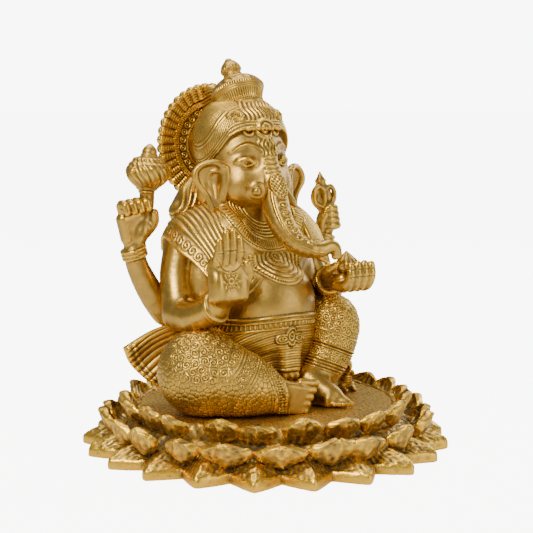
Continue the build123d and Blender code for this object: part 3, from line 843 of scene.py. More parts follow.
def shawlRelief(u, v):      # pleats towards the neck, a scrolled border outside
    start = shawlLook["border"]
    border = step(u, start - 0.02, start + 0.01)
    pleat = np.abs(np.sin(math.pi * (u * shawlLook["pleats"] + 0.4 * np.sin(v * 5 + 0.6)))) ** 0.8
    h = (1 - border) * 0.8 * (pleat - 0.3)
    scroll = scrollBand(v * 78, (u - 0.86) / 0.11, shawlLook["scrollPitch"], shawlLook["scrollWidth"])
    h += border * (0.5 + 0.55 * scroll)
    return h + bump(u, start, 0.016) + bump(u, 0.985, 0.02)


shawl = [
    [(-18, 58, 184), (-28, 44, 198), (-33, 14, 194), (-34, -6, 176), (-36, -18, 154)],
    [(-36, 62, 178), (-44, 46, 193), (-47, 18, 189), (-45, -3, 170), (-43, -16, 150)],
    [(-54, 60, 170), (-60, 46, 184), (-61, 22, 179), (-56, 2, 164), (-52, -12, 147)],
    [(-66, 54, 158), (-72, 42, 171), (-72, 24, 163), (-66, 8, 154), (-60, -6, 142)],
]


def makeShawls():
    patch("shawlRight", shawl, shawlRelief, shawlLook["thickness"])
    patch("shawlLeft", [mirrorPath(row) for row in shawl], shawlRelief, shawlLook["thickness"])


sash = {"ribs": 9.5, "ribHeight": 0.9, "waves": 1.4, "thickness": 5.0}


def makeSash():
    rows = [
        [(-44, 33, 108), (-48, 33, 96), (-50, 32, 82), (-49, 30, 66)],
        [(-64, 40, 102), (-65, 39, 89), (-64, 37, 74), (-60, 34, 60)],
        [(-84, 47, 95), (-83, 45, 82), (-77, 42, 67), (-69, 38, 54)],
        [(-106, 52, 83), (-101, 50, 70), (-91, 46, 58), (-79, 41, 48)],
    ]

    def relief(u, v):
        fan = v * sash["ribs"] + 0.5 * np.sin(3 * u + 1)
        h = (0.3 + u) * sash["ribHeight"] * (np.abs(np.sin(math.pi * fan)) ** 0.75 - 0.4)
        h += (0.3 + u) * 1.5 * np.sin(2 * math.pi * (v * sash["waves"] + 0.1))
        h += 0.8 * bump(u, 0.95, 0.02) + 0.6 * bump(u, 0.87, 0.015)
        return h + 0.4 * between(u, 0.88, 0.94, 0.01) * hatch(v * 60, 2.0)

    left = [mirrorPath(row) for row in rows]
    patch("sashTailRight", rows, relief, sash["thickness"], replaced=["right_sash_tail"])
    patch("sashTailLeft", left, relief, sash["thickness"], replaced=["left_sash_tail"])


# rows of a leg's path are x, y, z and radius from the hip over the knee to the ankle
rightLeg = {
    "path": [(-26, 16, 66, 28), (-52, 6, 68, 32), (-72, -14, 69, 33), (-52, -34, 62, 26.5),
             (-38, -42, 57, 20.5), (-28, -46, 54, 15.0)],
    "kneeScroll": 6.4, "bandScroll": 5.2, "scaleSize": 3.5, "scaleHeight": 0.72, "toeGap": 5.2,
}
leftLeg = {
    "path": [(26, 14, 68, 26), (44, 4, 84, 25), (56, -12, 97, 23.5), (51, -18, 78, 21), (40, -23, 64, 17.5),
             (27, -28, 55, 12.5)],
    "kneeScroll": 6.2, "bandScroll": 4.8, "foldPitch": 2.9, "toeGap": 3.0, "cuffFolds": 4,
}


def makeRightLeg():
    c = Clay((-108, -74, 34), (20, 46, 106), 0.9)
    c.add(c.tube(rightLeg["path"], 16))
    c.add(c.ball((-72, -14, 69), (34, 33, 33)), 5)
    # foot lying on its side, toes one above another
    c.add(c.slab((-12.5, -51.5, 48.5), (16.6, 7.5, 12.8), 4, tilt(y=13)), 3)
    c.add(c.ball((-26, -48, 51), (9, 9, 13)), 5)
    for k in range(5):
        z = 59.5 - k * rightLeg["toeGap"]
        tipX = 7.6 - 2.5 * k
        c.add(c.rod((tipX - 12, -54, z + 0.5), (tipX, -57, z - 1), 3.8, 3.3 - 0.1 * k), 0.4)
    for x in (-35, -24.5):      # anklet cords
        cord = [(x + 3, -58, 43, 1.7), (x + 1, -62.0, 52, 1.7), (x - 1.5, -58, 64, 1.7), (x - 3, -48, 70, 1.7)]
        c.add(c.tube(cord, 12), 0.8)
    c.clip(36.15 - c.z)
    me = c.mesh("rightLeg")

    def relief(p, n):
        a = along(p, rightLeg["path"])[1]
        x, y, z = p.T
        h = castSkin(p)
        foot = step(x, -20, -16)
        knee = np.linalg.norm((p - np.float32([-76, -26, 84])) * np.float32([1, 1, 0.92]), axis=1)
        under = step(61 - z + 0.3 * (x + 70), -4, 5)
        cap = (1 - step(knee, 26, 30)) * (1 - under)
        shin = (1 - under) * step(x + 0.5 * (z - 70), -72, -66)
        h += curls(p, n, cap, rightLeg["kneeScroll"], 0.44, 2.3)
        for at in (29.5, 31.6, 41.5, 43.4, 52.0, 53.8, 60.5, 62.2):      # arcs about the knee
            h += 0.6 * shin * bump(knee, at, 0.65)
        for lo, hi in ((32.8, 40.6), (44.4, 51.2)):
            h += curls(p, n, between(knee, lo, hi, 0.5) * shin, rightLeg["bandScroll"], 0.34, 1.9)
        h += 0.4 * shin * between(knee, 54.6, 59.8, 0.4) * hatch(a * 20, 2.4)
        scales = np.clip(1 - cap - shin * step(knee, 28.5, 29.5), 0, 1)
        scales = scales * step(-22 - x, 0, 3) * step(z, 37, 38)
        h += pebbles(p, scales, rightLeg["scaleSize"], rightLeg["scaleHeight"])
        # toothed band between the anklet cords
        q = x + 0.25 * (z - 54)
        h += 0.6 * between(q, -31, -26, 0.4) * hatch(z + y * 0.4, 2.3)
        h += 0.4 * between(q, -39, -22) * bump(np.mod(q, 3.0), 1.5, 0.6)
        for k in range(5):      # toenails
            z0, x0 = 58.7 - k * rightLeg["toeGap"], 6.6 - 2.5 * k
            nail = (1 - step(np.hypot((x - x0) / 1.4, (z - z0) / 1.1), 1.3, 1.8)) * step(-n[:, 1], 0.3, 0.7)
            h -= 0.35 * nail
        return h * (1 - 0.4 * foot)

    finish(me, "rightLeg", relief, ["right_leg"])


def makeLeftLeg():
    c = Clay((4, -76, 34), (88, 46, 126), 0.9)
    c.add(c.tube(leftLeg["path"], 16))
    c.add(c.ball((56, -12, 96), (23.5, 23, 24)), 5)
    # foot forward, pressed to the floor
    c.add(c.rod((21, -31, 56), (30, -48, 45.5), 9.5, 8.0), 5)
    c.add(c.rod((30, -48, 44.5), (35.5, -60, 40.2), 7.6, 4.0), 4)
    c.add(c.slab((26, -40, 41), (9, 15, 5), 4, tilt(z=16)), 5)
    for k in range(5):
        across = leftLeg["toeGap"] * k
        root, tip = (35.6 - across, -54 + 1.0 * k, 43 - 0.4 * k), (38.2 - across, -65.0 + 1.6 * k, 39.4)
        c.add(c.rod(root, tip, 2.6, 2.1), 0.7)
    # the bunched cuff
    for k in range(leftLeg["cuffFolds"]):
        fold = (4.0, 15.5 - 0.7 * k, 15.0 - 0.8 * k)
        c.add(c.ball((34 - 2.6 * k, -25 - 1.0 * k, 62 - 2.2 * k), fold, tilt(z=-12, y=-38)), 1.4)
    c.clip(36.15 - c.z)
    me = c.mesh("leftLeg")

    def relief(p, n):
        x, y, z = p.T
        h = castSkin(p)
        foot = 1 - step(z + 0.5 * (x - 26), 52, 56)
        q = z + 0.42 * x - 24
        top = step(q, 88, 90)
        h += curls(p, n, top, leftLeg["kneeScroll"], 0.36, 2.2)
        for lo, hi in ((77, 86), (62, 71)):
            h += curls(p, n, between(q, lo, hi, 0.5) * step(z, 62, 64), leftLeg["bandScroll"], 0.34, 1.9)
        folds = np.maximum(between(q, 71.5, 76.5, 0.5), between(q, 52, 61, 0.5)) * step(z, 58, 62)
        h += 0.6 * folds * np.sin(2 * math.pi * q / leftLeg["foldPitch"])
        for at in (87.0, 76.4, 71.4, 61.6):
            h += 0.6 * bump(q, at, 0.7) * step(z, 60, 63)
        return h * (1 - 0.6 * foot)

    finish(me, "leftLeg", relief, ["left_leg"])


def ringAt(c, centre, axis, radius, thick, blend=0.8):      # a plain hoop around a limb
    z = unit(axis)
    x, y, w = c.x - centre[0], c.y - centre[1], c.z - centre[2]
    h = x * z[0] + y * z[1] + w * z[2]
    r = np.sqrt(np.maximum(x * x + y * y + w * w - h * h, 0))
    c.add(np.sqrt((r - radius) ** 2 + h * h) - thick, blend)


blessingHand = {"fingerGap": 6.5, "fingerRadius": 4.0, "rosette": 5.6, "rosettePetals": 8}


def makeBlessingArm():
    c = Clay((-88, -56, 92), (-38, 58, 188), 0.85)
    c.add(c.tube([(-58, 36, 166, 15), (-66, 32, 140, 14), (-71, 20, 113, 13.5)], 8))
    c.add(c.tube([(-71, 20, 112, 13.5), (-70, -2, 112, 12.8), (-64, -24, 122, 10.5)], 8), 4)
    for k, off in enumerate((0, 3.4)):
        ringAt(c, (-64 + off * 0.2, -23 + off, 121.5 - off * 0.5), (0.2, -0.8, 0.45), 11.3 + 0.25 * k, 1.7)
    turn = tilt(x=-8, z=-7)
    c.add(c.slab((-60, -33.5, 144.5), (16.2, 5.6, 18.2), 5.4, turn), 4)
    c.add(c.ball((-61, -30, 131), (12.5, 8, 9)), 5)
    c.add(c.ball((-49.5, -36, 139), (6.5, 5.8, 11)), 4)
    c.add(c.ball((-70, -36, 140), (5, 5, 11)), 4)
    tips = [(-71.4, 175.0), (-65.0, 181.5), (-58.6, 182.5), (-52.4, 176.5)]
    for k, (x, z) in enumerate(tips):
        x0, fat = -70.2 + blessingHand["fingerGap"] * k, blessingHand["fingerRadius"]
        finger = [(x0, -34.5, 158, fat), ((x0 + x) / 2, -37.5, (158 + z) / 2, fat - 0.3),
                  (x, -38.5, z, fat - 1.3)]
        c.add(c.tube(finger, 5), 0.4)
    c.add(c.tube([(-46.5, -35, 141, 5.2), (-43.6, -38, 149, 4.5), (-46, -40, 157, 3.5)], 5), 1.6)
    me = c.mesh("blessingArm")

    def relief(p, n):
        x, y, z = p.T
        h = castSkin(p) * 0.7
        palm = step(-n[:, 1], 0.3, 0.7) * between(z, 128, 170, 1) * step(-y, 30, 33)
        for k in range(4):      # joints of the fingers
            longer = 1.5 if k in (1, 2) else 0
            for at in (166.0, 173.0):
                h -= 0.4 * palm * bump(z, at + longer, 0.6) * bump(x, -70.6 + 6.4 * k, 3)
        crease = z - (151 + 0.06 * (x + 60) ** 2)
        h -= 0.45 * palm * bump(crease, 0, 0.6)
        # plain eight-petal rosette in the palm
        dx, dz = x + 60.5, z - 144
        r, a = np.hypot(dx, dz), np.arctan2(dz, dx)
        outline = blessingHand["rosette"] + 1.6 * np.cos(blessingHand["rosettePetals"] * a)
        flower = bump(r, outline, 0.8) + bump(r, 2.0, 0.8)
        h += 0.6 * palm * flower
        return h

    finish(me, "blessingArm", relief, ["front_right_arm"], material=polishedBrass)


offeringHand = {"fingerGap": 6.9, "firstFinger": 40.6, "cuffRings": 3}


def makeOfferingArm():
    c = Clay((30, -72, 92), (88, 58, 180), 0.85)
    c.add(c.tube([(56, 36, 166, 15), (63, 28, 140, 14), (67, 14, 117, 13)], 8))
    c.add(c.tube([(67, 14, 116, 13), (62, -2, 123, 12.2), (53, -14, 133, 10.2)], 8), 4)
    for k in range(offeringHand["cuffRings"]):
        ringAt(c, (53.0 - k, -12.5 - 3.0 * k, 132 + 1.2 * k), (-0.35, -0.8, 0.35), 11.2, 1.5)
    c.add(c.slab((50, -36, 136.0), (13, 16, 7.5), 6, tilt(x=-4)), 4)
    c.add(c.ball((51, -23, 136), (11, 9, 8)), 4)
    for k in range(4):      # fingers curl up at the far end
        x = offeringHand["firstFinger"] + offeringHand["fingerGap"] * k
        tip = 151.5 - 1.0 * abs(k - 1.5)
        finger = [(x - 1, -43, 133, 4.8), (x - 0.4, -53.0, 133, 4.8), (x + 1.0, -58, 141, 4.1),
                  (x + 1.6, -57.5, tip, 3.2)]
        c.add(c.tube(finger, 9), 0.9)
    c.add(c.tube([(37.5, -29, 140, 4.6), (34.5, -38, 145, 4.0), (37, -45, 150, 3.1)], 6), 1.5)
    me = c.mesh("offeringArm")

    def relief(p, n):
        x, y, z = p.T
        h = castSkin(p) * 0.7
        for k in range(4):
            for at in (141.5, 147.5):
                middle = offeringHand["firstFinger"] + 0.6 + offeringHand["fingerGap"] * k
                h -= 0.4 * bump(z, at, 0.6) * bump(x, middle, 3) * step(-y, 50, 53)
        return h

    finish(me, "offeringArm", relief, ["front_left_arm"], material=polishedBrass)


sweet = {"folds": 9, "foldDepth": 0.9,
         "profile": [(0.1, 0), (6, 0.2), (9, 3), (9.4, 6.5), (7.8, 10), (4.4, 13.5), (1.6, 16.2), (0.3, 17.4)]}


def makeSweet():
    def relief(a, h, r):
        fade = np.clip(h / 4, 0, 1) * np.clip((19 - h) / 10, 0, 1)
        return sweet["foldDepth"] * (np.abs(np.cos(sweet["folds"] / 2 * a + 0.06 * h)) - 0.5) * fade

    lathe("sweetCasting", sweet["profile"],
          (48.5, -45, 143.5), (-0.04, 0.05, 1), 200, 110, relief, node=["sweet"], material=polishedBrass)


rearArm = {
    "path": [(-50, 44, 150, 13), (-58, 46, 126, 12), (-64, 47, 107, 11.3), (-78, 48, 122, 10.8),
             (-91, 50, 146, 9.2), (-95.5, 50, 162, 8.2)],
    "bangles": 3, "bangleGap": 2.9, "bangleRadius": 9.4,
}


def makeRearArm(side, name, nodeName):      # modelled on the right, mirrored for the left
    c = Clay((-118, 26, 92), (-42, 66, 214), 0.85)
    c.add(c.tube(rearArm["path"], 16))
    for k in range(rearArm["bangles"]):
        centre = (-94.2 - 0.9 * k, 50, 157.0 + rearArm["bangleGap"] * k)
        ringAt(c, centre, (-0.3, 0, 1), rearArm["bangleRadius"], 1.5)
    if side < 0:      # open hand, the shaft held by the thumb and the fingers curled over
        c.add(c.slab((-97, 50, 181), (11.5, 6, 13), 5, tilt(y=-14)), 4)
        c.add(c.ball((-90, 46, 176), (6, 6, 11), tilt(y=22)), 4)
        for k in range(4):
            x, z = -108.0 + 6.4 * k, 198.5 + 0.9 * k      # the knuckle
            finger = [(-104.5 + 6.2 * k, 50, 190.5 + 0.8 * k, 3.9), (x, 48, z, 3.7),
                      (x + 0.6, 41.5, z + 0.5, 3.4), (x + 1.6, 39.5, z - 5.5, 2.8)]
            c.add(c.tube(finger, 8), 0.6)
        c.add(c.tube([(-86, 46, 176, 4.6), (-80.5, 43, 184, 4.1), (-81, 41, 192, 3.3)], 6), 1.4)
        shaft = [(-90, 47, 178, 4.6), (-84.5, 48, 190, 5.0), (-82.5, 49, 202, 5.2), (-82.3, 49, 212, 5.4)]
        c.add(c.tube(shaft, 8), 1.5)
    else:      # fist about the goad's shaft
        c.add(c.ball((-98.5, 49, 175), (10.0, 7.5, 12), tilt(y=-8)), 4)
        for k in range(4):
            z = 169.5 + 5.0 * k
            finger = [(-107.5 + 0.9 * k, 51, z, 3.6), (-106.5 + k, 43.4, z + 2, 3.5),
                      (-99 + 0.6 * k, 41.0, z + 2.6, 3.2), (-93.5, 43.0, z + 1.5, 2.7)]
            c.add(c.tube(finger, 8), 0.6)
        c.add(c.tube([(-91, 48, 166, 4.4), (-88.5, 43.5, 175, 3.9), (-91, 40.8, 182, 3.1)], 6), 1.4)
    me = c.mesh(name)
    if side > 0:
        co = points(me)
        co[:, 0] = -co[:, 0]
        me.vertices.foreach_set("co", co.ravel())
        me.flip_normals()
        me.update()
    finish(me, name, lambda p, n: castSkin(p) * 0.8, [nodeName], material=polishedBrass)


mace = {
    "base": (-83.8, 49, 206), "axis": (0.10, 0.0, 1), "petals": 10, "petalDepth": 1.1, "scrollRadius": 5.4,
    "profile": [(0.1, -8), (5.2, -7.8), (5.6, 0), (6.8, 3.4), (10.5, 7), (15.6, 12.5), (17.2, 18), (16.0, 23),
                (13.4, 26.5), (12.0, 29), (7.0, 31.0), (6.2, 33.2), (6.0, 35.5), (4.6, 38), (2.0, 40.4),
                (0.3, 41.4)],
}


def makeMace():
    def relief(a, h, r):
        fluted = np.abs(np.cos(mace["petals"] / 2 * a + 0.16 * h)) ** 0.6 - 0.5
        petals = between(h, 7, 22, 1) * mace["petalDepth"] * fluted
        petals = petals + between(h, 7, 30, 1) * 0.35 * np.cos(20 * a + 0.9 * h)
        rings = 0.7 * (bump(h, 2.0, 0.7) + bump(h, 4.4, 0.7) + bump(h, 24.6, 0.8) + bump(h, 32.0, 0.7))
        return petals + rings

    lathe("maceCasting", mace["profile"], mace["base"], mace["axis"], 300, 220, relief, node=["mace"])
    for s in (-1, 1):      # the two side scrolls
        t = np.linspace(0, 2.2 * math.pi, 90)
        r = mace["scrollRadius"] * np.exp(-0.19 * t)
        x, y, z = np.array(mace["base"]) + [1.7 + s * 12.5, -5.0, 17.5]
        path = np.stack([x + s * r * np.cos(t), np.full_like(t, y), z + r * np.sin(t)], 1)
        wire("maceScroll" + ("Left" if s > 0 else "Right"), path, 2.4)


def wire(name, path, radius, taper=0.25, sides=14):      # a round bar along a path
    path = np.asarray(path, float)
    t = np.gradient(path, axis=0)
    t /= np.linalg.norm(t, axis=1)[:, None]
    ref = np.tile(unit([0.03, 1, 0.05]), (len(path), 1))
    a = np.cross(t, ref)
    a /= np.linalg.norm(a, axis=1)[:, None]
    b = np.cross(t, a)
    f = np.linspace(0, 1, len(path))
    rad = radius * (1 - taper * f) * np.sqrt(np.clip(1 - np.abs(2 * f - 1) ** 14, 0.0, 1))
    ang = np.linspace(0, 2 * math.pi, sides, endpoint=False)
    ring = np.cos(ang)[None, :, None] * a[:, None] + np.sin(ang)[None, :, None] * b[:, None]
    rows = path[:, None] + rad[:, None, None] * ring
    me = gridMesh(name, rows, False, True)
    me.flip_normals()
    return finish(me, name, None, smoothFirst=0)


goad = {"loopWidth": 9.4, "loopRadius": 2.2}


def makeGoad():
    c = Clay((74, 38, 176), (112, 62, 222), 0.7)
    c.add(c.rod((97, 49, 176), (95.8, 49, 187), 4.6, 5.2))
    c.add(c.ball((93.8, 50.5, 196.5), (10.8, 5.6, 11.5)), 3)
    for s in (-1, 1):
        c.cut(c.ball((93.8 + s * 5.2, 44.4, 197.5), (3.4, 3.2, 6.4), tilt(y=-s * 14)), 1)
        wide, r = goad["loopWidth"], goad["loopRadius"]
        loop = [(95.0, 45.6, 186.5, r + 0.1), (93.8 + s * wide, 45.8, 191.5, r),
                (93.8 + s * (wide + 1.6), 46, 200, r - 0.1), (93.8 + s * (wide - 3.0), 45.6, 206, r - 0.2),
                (93.6 + s * 1.0, 45.0, 203, r - 0.4)]
        c.add(c.tube(loop, 16), 0.7)
    c.add(c.ball((93.8, 46, 196), (2.6, 3, 8)), 1.2)
    c.add(c.rod((93.0, 49, 204), (92.0, 49, 210), 5.4, 4.2), 1.5)
    ringAt(c, (91.8, 49, 210.4), (-0.12, 0, 1), 3.6, 1.5)
    c.add(c.rod((91.6, 49, 212), (91.0, 49, 218), 3.8, 1.0), 1)
    me = c.mesh("goad")
    finish(me, "goadCasting", lambda p, n: castSkin(p) * 0.6, ["goad"])


head = {"turbanFront": 259, "turbanSideDrop": 22, "turbanBackDrop": 0.62, "eyeSide": 18.5, "eyeHeight": 232.6,
        "broochRadius": 8.0, "sideRing": 12.8}


def turbanEdge(x, y):
    drop = head["turbanSideDrop"] * np.abs(x / 37.0) ** 4
    return head["turbanFront"] - drop - head["turbanBackDrop"] * np.maximum(y - 12, 0)


def makeHead():
    c = Clay((-46, -14, 184), (46, 92, 300), 0.95)
    c.add(c.ball((0, 36, 236), (35.5, 36, 43)))
    c.add(c.ball((0, 24, 221), (32.5, 29.5, 32)), 6)
    for s in (-1, 1):
        c.add(c.ball((s * 16, 13, 212), (15, 15, 15)), 7)
    c.add(c.ball((0, 9, 205), (20, 16, 12)), 6)
    c.add(c.rod((0, 8, 244), (0, -2, 214), 10, 12.5), 8)
    for s in (-1, 1):
        x, z = s * head["eyeSide"], head["eyeHeight"]
        c.cut(c.ball((x, -4.2, z + 1), (9.0, 9.0, 6.6)), 4)
        c.add(c.ball((x, 6.4, z), (7.0, 4.9, 4.7)), 1.2)
        brow = [(s * 5.5, -3, 239.5, 1.5), (s * 10.5, 0.2, 243.2, 1.8), (s * 16, 3.8, 245.8, 1.9),
                (s * 21.5, 8.0, 243.4, 1.6), (s * 26, 12.6, 239.4, 1.1)]
        c.add(c.tube(brow, 12), 2.2)
        # heavy upper lid, thin lower one
        upper = [(s * 11.8, -1.4, z - 1.4, 0.9), (x, 1.6, z + 2.4, 1.9), (s * 25.5, 7.4, z - 0.4, 0.9)]
        lower = [(s * 11.8, -1.4, z - 1.4, 0.7), (x, 0.9, z - 3.4, 0.9), (s * 25.5, 7.4, z - 0.4, 0.7)]
        c.add(c.tube(upper, 8), 0.8)
        c.add(c.tube(lower, 8), 0.7)
        c.add(c.ball((s * 30, 44, 206), (12, 13, 15)), 6)
    wrap = c.ball((0, 39, 247), (38.6, 41.5, 39.5))
    cut = (turbanEdge(c.x, c.y) - c.z) * 0.8
    c.add(-softMin(-wrap, -cut, 1.2), 1.0)
    # web from the crown back to the halo
    c.add(c.slab((0, 62, 277), (9, 24, 13), 6, tilt(x=12)), 8)
    c.add(c.rod((0, 60, 244), (0, 84, 244), 12, 15), 6)
    # scrolls of the turban beside the brooch
    for s in (-1, 1):
        t = np.linspace(0, 1.9 * math.pi, 12)
        r = 5.2 * np.exp(-0.2 * t)
        curl = []
        for k in range(12):
            x, z = s * (20 + r[k] * math.cos(t[k])), 268 + r[k] * math.sin(t[k])
            curl.append((x, 38.6 - 41.5 * math.sqrt(1 - (x / 38.6) ** 2 - ((z - 247) / 39.5) ** 2), z, 1.9))
        c.add(c.tube(curl, 24), 0.8)
    c.clip(186.0 - c.z)
    me = c.mesh("head")

    def relief(p, n):
        x, y, z = p.T
        h = castSkin(p) * 0.55
        w = (z - turbanEdge(x, y)) / (1 + 0.024 * np.maximum(y, 0))
        on = step(w, -0.2, 0.8) * (1 - step(y, 78, 82))
        lockZone = (1 - step(np.abs(x), 13, 17)) * step(z, 264, 267) * (1 - step(y, 30, 40))
        band = on * (1 - lockZone)
        h += band * 0.9 * (bump(w, 1.2, 1.0))
        for at in (3.6, 5.6, 13.6, 15.4, 23.0, 24.8):
            h += band * 0.62 * bump(w, at, 0.62)
        h += band * 0.5 * between(w, 7.0, 12.2, 0.4) * hatch(y + 0.7 * x * np.sign(x) + 0.3 * z, 2.1)
        h += band * 0.22 * between(w, 16.4, 22, 0.5) * np.sin(2 * math.pi * (y + 0.5 * z) / 1.9)
        h += band * step(w, 26, 27) * 0.5 * np.sin(2 * math.pi * (w + 1.2 * noise(p, 8)) / 3.0)
        h += lockZone * 0.5 * np.sin(2 * math.pi * (x + 1.2 * np.sin(z / 3.4 + y / 6)) / 3.6)
        # brooch and its side rings
        f = step(-n[:, 1], 0.1, 0.4)
        r = np.hypot(x + 0.5, z - 258.8)
        disc = 1 - step(r, head["broochRadius"], head["broochRadius"] + 1.2)
        h = h * (1 - disc * f) + f * disc * (1.9 + 0.55 * np.cos(2 * math.pi * r / 3.3))
        for s in (-1, 1):
            q = np.hypot(x - s * head["sideRing"], z - 256.6)
            ring = 1 - step(q, 3.8, 4.8)
            h = h * (1 - ring * f) + f * ring * (1.2 + 0.9 * bump(q, 3.0, 0.9) - 0.9 * bump(q, 0, 1.3))
        # flame mark on the brow and the folds at the root of the trunk
        mark = (1 - step(np.abs(x), 7, 9)) * between(z, 238, 251, 1) * f
        h += mark * 0.55 * np.sin(2 * math.pi * (np.abs(x) + 1.2 * np.sin(z / 1.8)) / 3.4)
        for at in (233.5, 230.2, 226.9):
            h += 0.7 * f * bump(z + 0.02 * x * x, at, 0.8) * (1 - step(np.abs(x), 6, 8))
        # eyes: iris ring
        for s in (-1, 1):
            e = np.hypot(x - s * 18.0, (z - 232.2) * 1.05)
            h -= 0.4 * f * bump(e, 1.9, 0.5)
            brow = z - (246.4 - 0.06 * (np.abs(x) - 16) ** 2)
            h += 0.4 * f * bump(brow, 0, 0.6) * between(np.abs(x), 6, 26, 1)
        # hair at the nape
        nape = step(y, 40, 48) * (1 - step(w, -1.0, 0))
        h += nape * 0.7 * np.sin(2 * math.pi * (z + 1.5 * np.sin(x / 4)) / 4.2)
        # fluting on the web
        web = step(y, 60, 64) * step(z, 262, 266)
        h += web * 0.5 * np.sin(2 * math.pi * (z + 0.3 * y) / 3.0)
        return h

    finish(me, "headCasting", relief, ["head", "halo_strut"])


# rows of the trunk's path are x, y, z and radius
trunk = {
    "path": [(0, 4, 239, 8.6), (0, -1, 227, 9.8), (0, -8, 213, 10.4), (-1.5, -14, 198, 10.8),
             (-2, -24, 183, 10.0), (2, -34, 171, 8.7), (10, -43, 165, 7.5), (19, -47.5, 164, 6.5),
             (26.5, -48.5, 166.0, 5.9), (32, -49, 164.5, 5.3), (34, -49.5, 158.5, 4.4)],
    "scrollPitch": 8.4, "scrollWidth": 9.5, "netPitch": 3.2, "foldPitch": 4.4,
}


def makeTrunk():
    c = Clay((-20, -64, 150), (50, 18, 252), 0.8)
    c.add(c.tube(trunk["path"], 26))
    # the ornament strip stands a little proud along the front
    ridge = [(x - 0.2, y - r * 0.45, z + r * 0.22 - 1.0, r * 0.55) for x, y, z, r in trunk["path"][2:7]]
    c.add(c.tube(ridge, 14), 3)
    c.cut(c.ball((34.4, -49.6, 154.3), (2.2, 2.2, 2.4)), 0.8)
    me = c.mesh("trunk")

    def relief(p, n):
        s = along(p, trunk["path"])[0]
        x, y, z = p.T
        h = castSkin(p) * 0.6
        frontward = (n @ unit([0.05, -0.85, 0.52]).astype(np.float32))
        strip = step(frontward, 0.62, 0.80) * between(s, 38, 98, 1.5)
        d = np.degrees(np.arccos(np.clip(frontward, -1, 1))) / 38
        sideways = np.sign(n[:, 0] * 0.9 + 0.1) * d
        h += strip * (0.5 + 0.55 * scrollBand(s, sideways, trunk["scrollPitch"], trunk["scrollWidth"]))
        h += 0.6 * between(s, 36, 104, 1) * bump(frontward, 0.66, 0.05)
        # hatched oval
        q = np.hypot((x + 0.3) / 7.0, (z - 213.5) / 10.0)
        oval = (1 - step(q, 0.93, 1.05)) * step(frontward, 0.3, 0.5)
        pitch = trunk["netPitch"]
        net = np.cos(2 * math.pi * (x + 0.9 * z) / pitch) + np.cos(2 * math.pi * (x - 0.9 * z) / pitch)
        h += oval * (0.8 + 0.3 * net) + 0.9 * bump(q, 1.0, 0.09) * step(frontward, 0.2, 0.5)
        root = (1 - step(np.abs(x), 6, 8)) * step(frontward, 0.2, 0.5)
        for at in (236.0, 232.4, 228.8, 225.4):      # folds at the root
            h += 0.75 * bump(z + 0.03 * x * x, at, 0.8) * root
        # skin folds under and towards the tip
        fold = step(0.45 - frontward, 0, 0.3)
        h += 0.12 * fold * np.sin(2 * math.pi * s / trunk["foldPitch"]) * step(s, 60, 75)
        return h

    finish(me, "trunkCasting", relief, ["trunk"], material=polishedBrass)


# profile rows are radius and distance along the tusk; the right one is broken off and capped
tusks = {
    "right": {"base": (-12.5, -2, 212), "axis": (-0.48, -0.86, -0.14),
              "profile": [(5.6, -6), (5.8, 0), (5.9, 6), (7.4, 9), (7.6, 12), (7.0, 13.6), (5.4, 14.6),
                          (4.2, 14.8), (3.3, 17.2), (1.8, 18.4), (0.1, 18.8)]},
    "left": {"base": (13.5, 1, 210), "axis": (0.34, -0.62, -0.66),
             "profile": [(5.2, -6), (5.2, 0), (4.6, 8), (3.4, 15), (1.6, 20), (0.1, 21.8)]},
}


def makeTusks():
    def collar(a, h, r):
        return 0.5 * bump(h, 12.6, 0.8) + 0.15 * np.cos(a * 3)

    right, left = tusks["right"], tusks["left"]
    lathe("tuskRight", right["profile"], right["base"], right["axis"], 140, 90, collar,
          node=["right_tusk"], material=polishedBrass)
    lathe("tuskLeft", left["profile"], left["base"], left["axis"], 140, 80, None,
          node=["left_tusk"], material=polishedBrass)


ear = {
    "outline": [(0, 17), (6, 21.5), (13, 22.5), (21, 19.5), (25, 13), (23.5, 5), (18.5, -3), (13.0, -12),
                (9.5, -21), (7.0, -29.5), (4.0, -30.5), (1.5, -22), (-0.5, -10), (-1.5, 4), (0, 17)],
    "dish": 5.0, "rim": 2.9, "turnBack": 38, "side": 32.0, "rightHeight": 213.5, "leftHeight": 208.0,
}


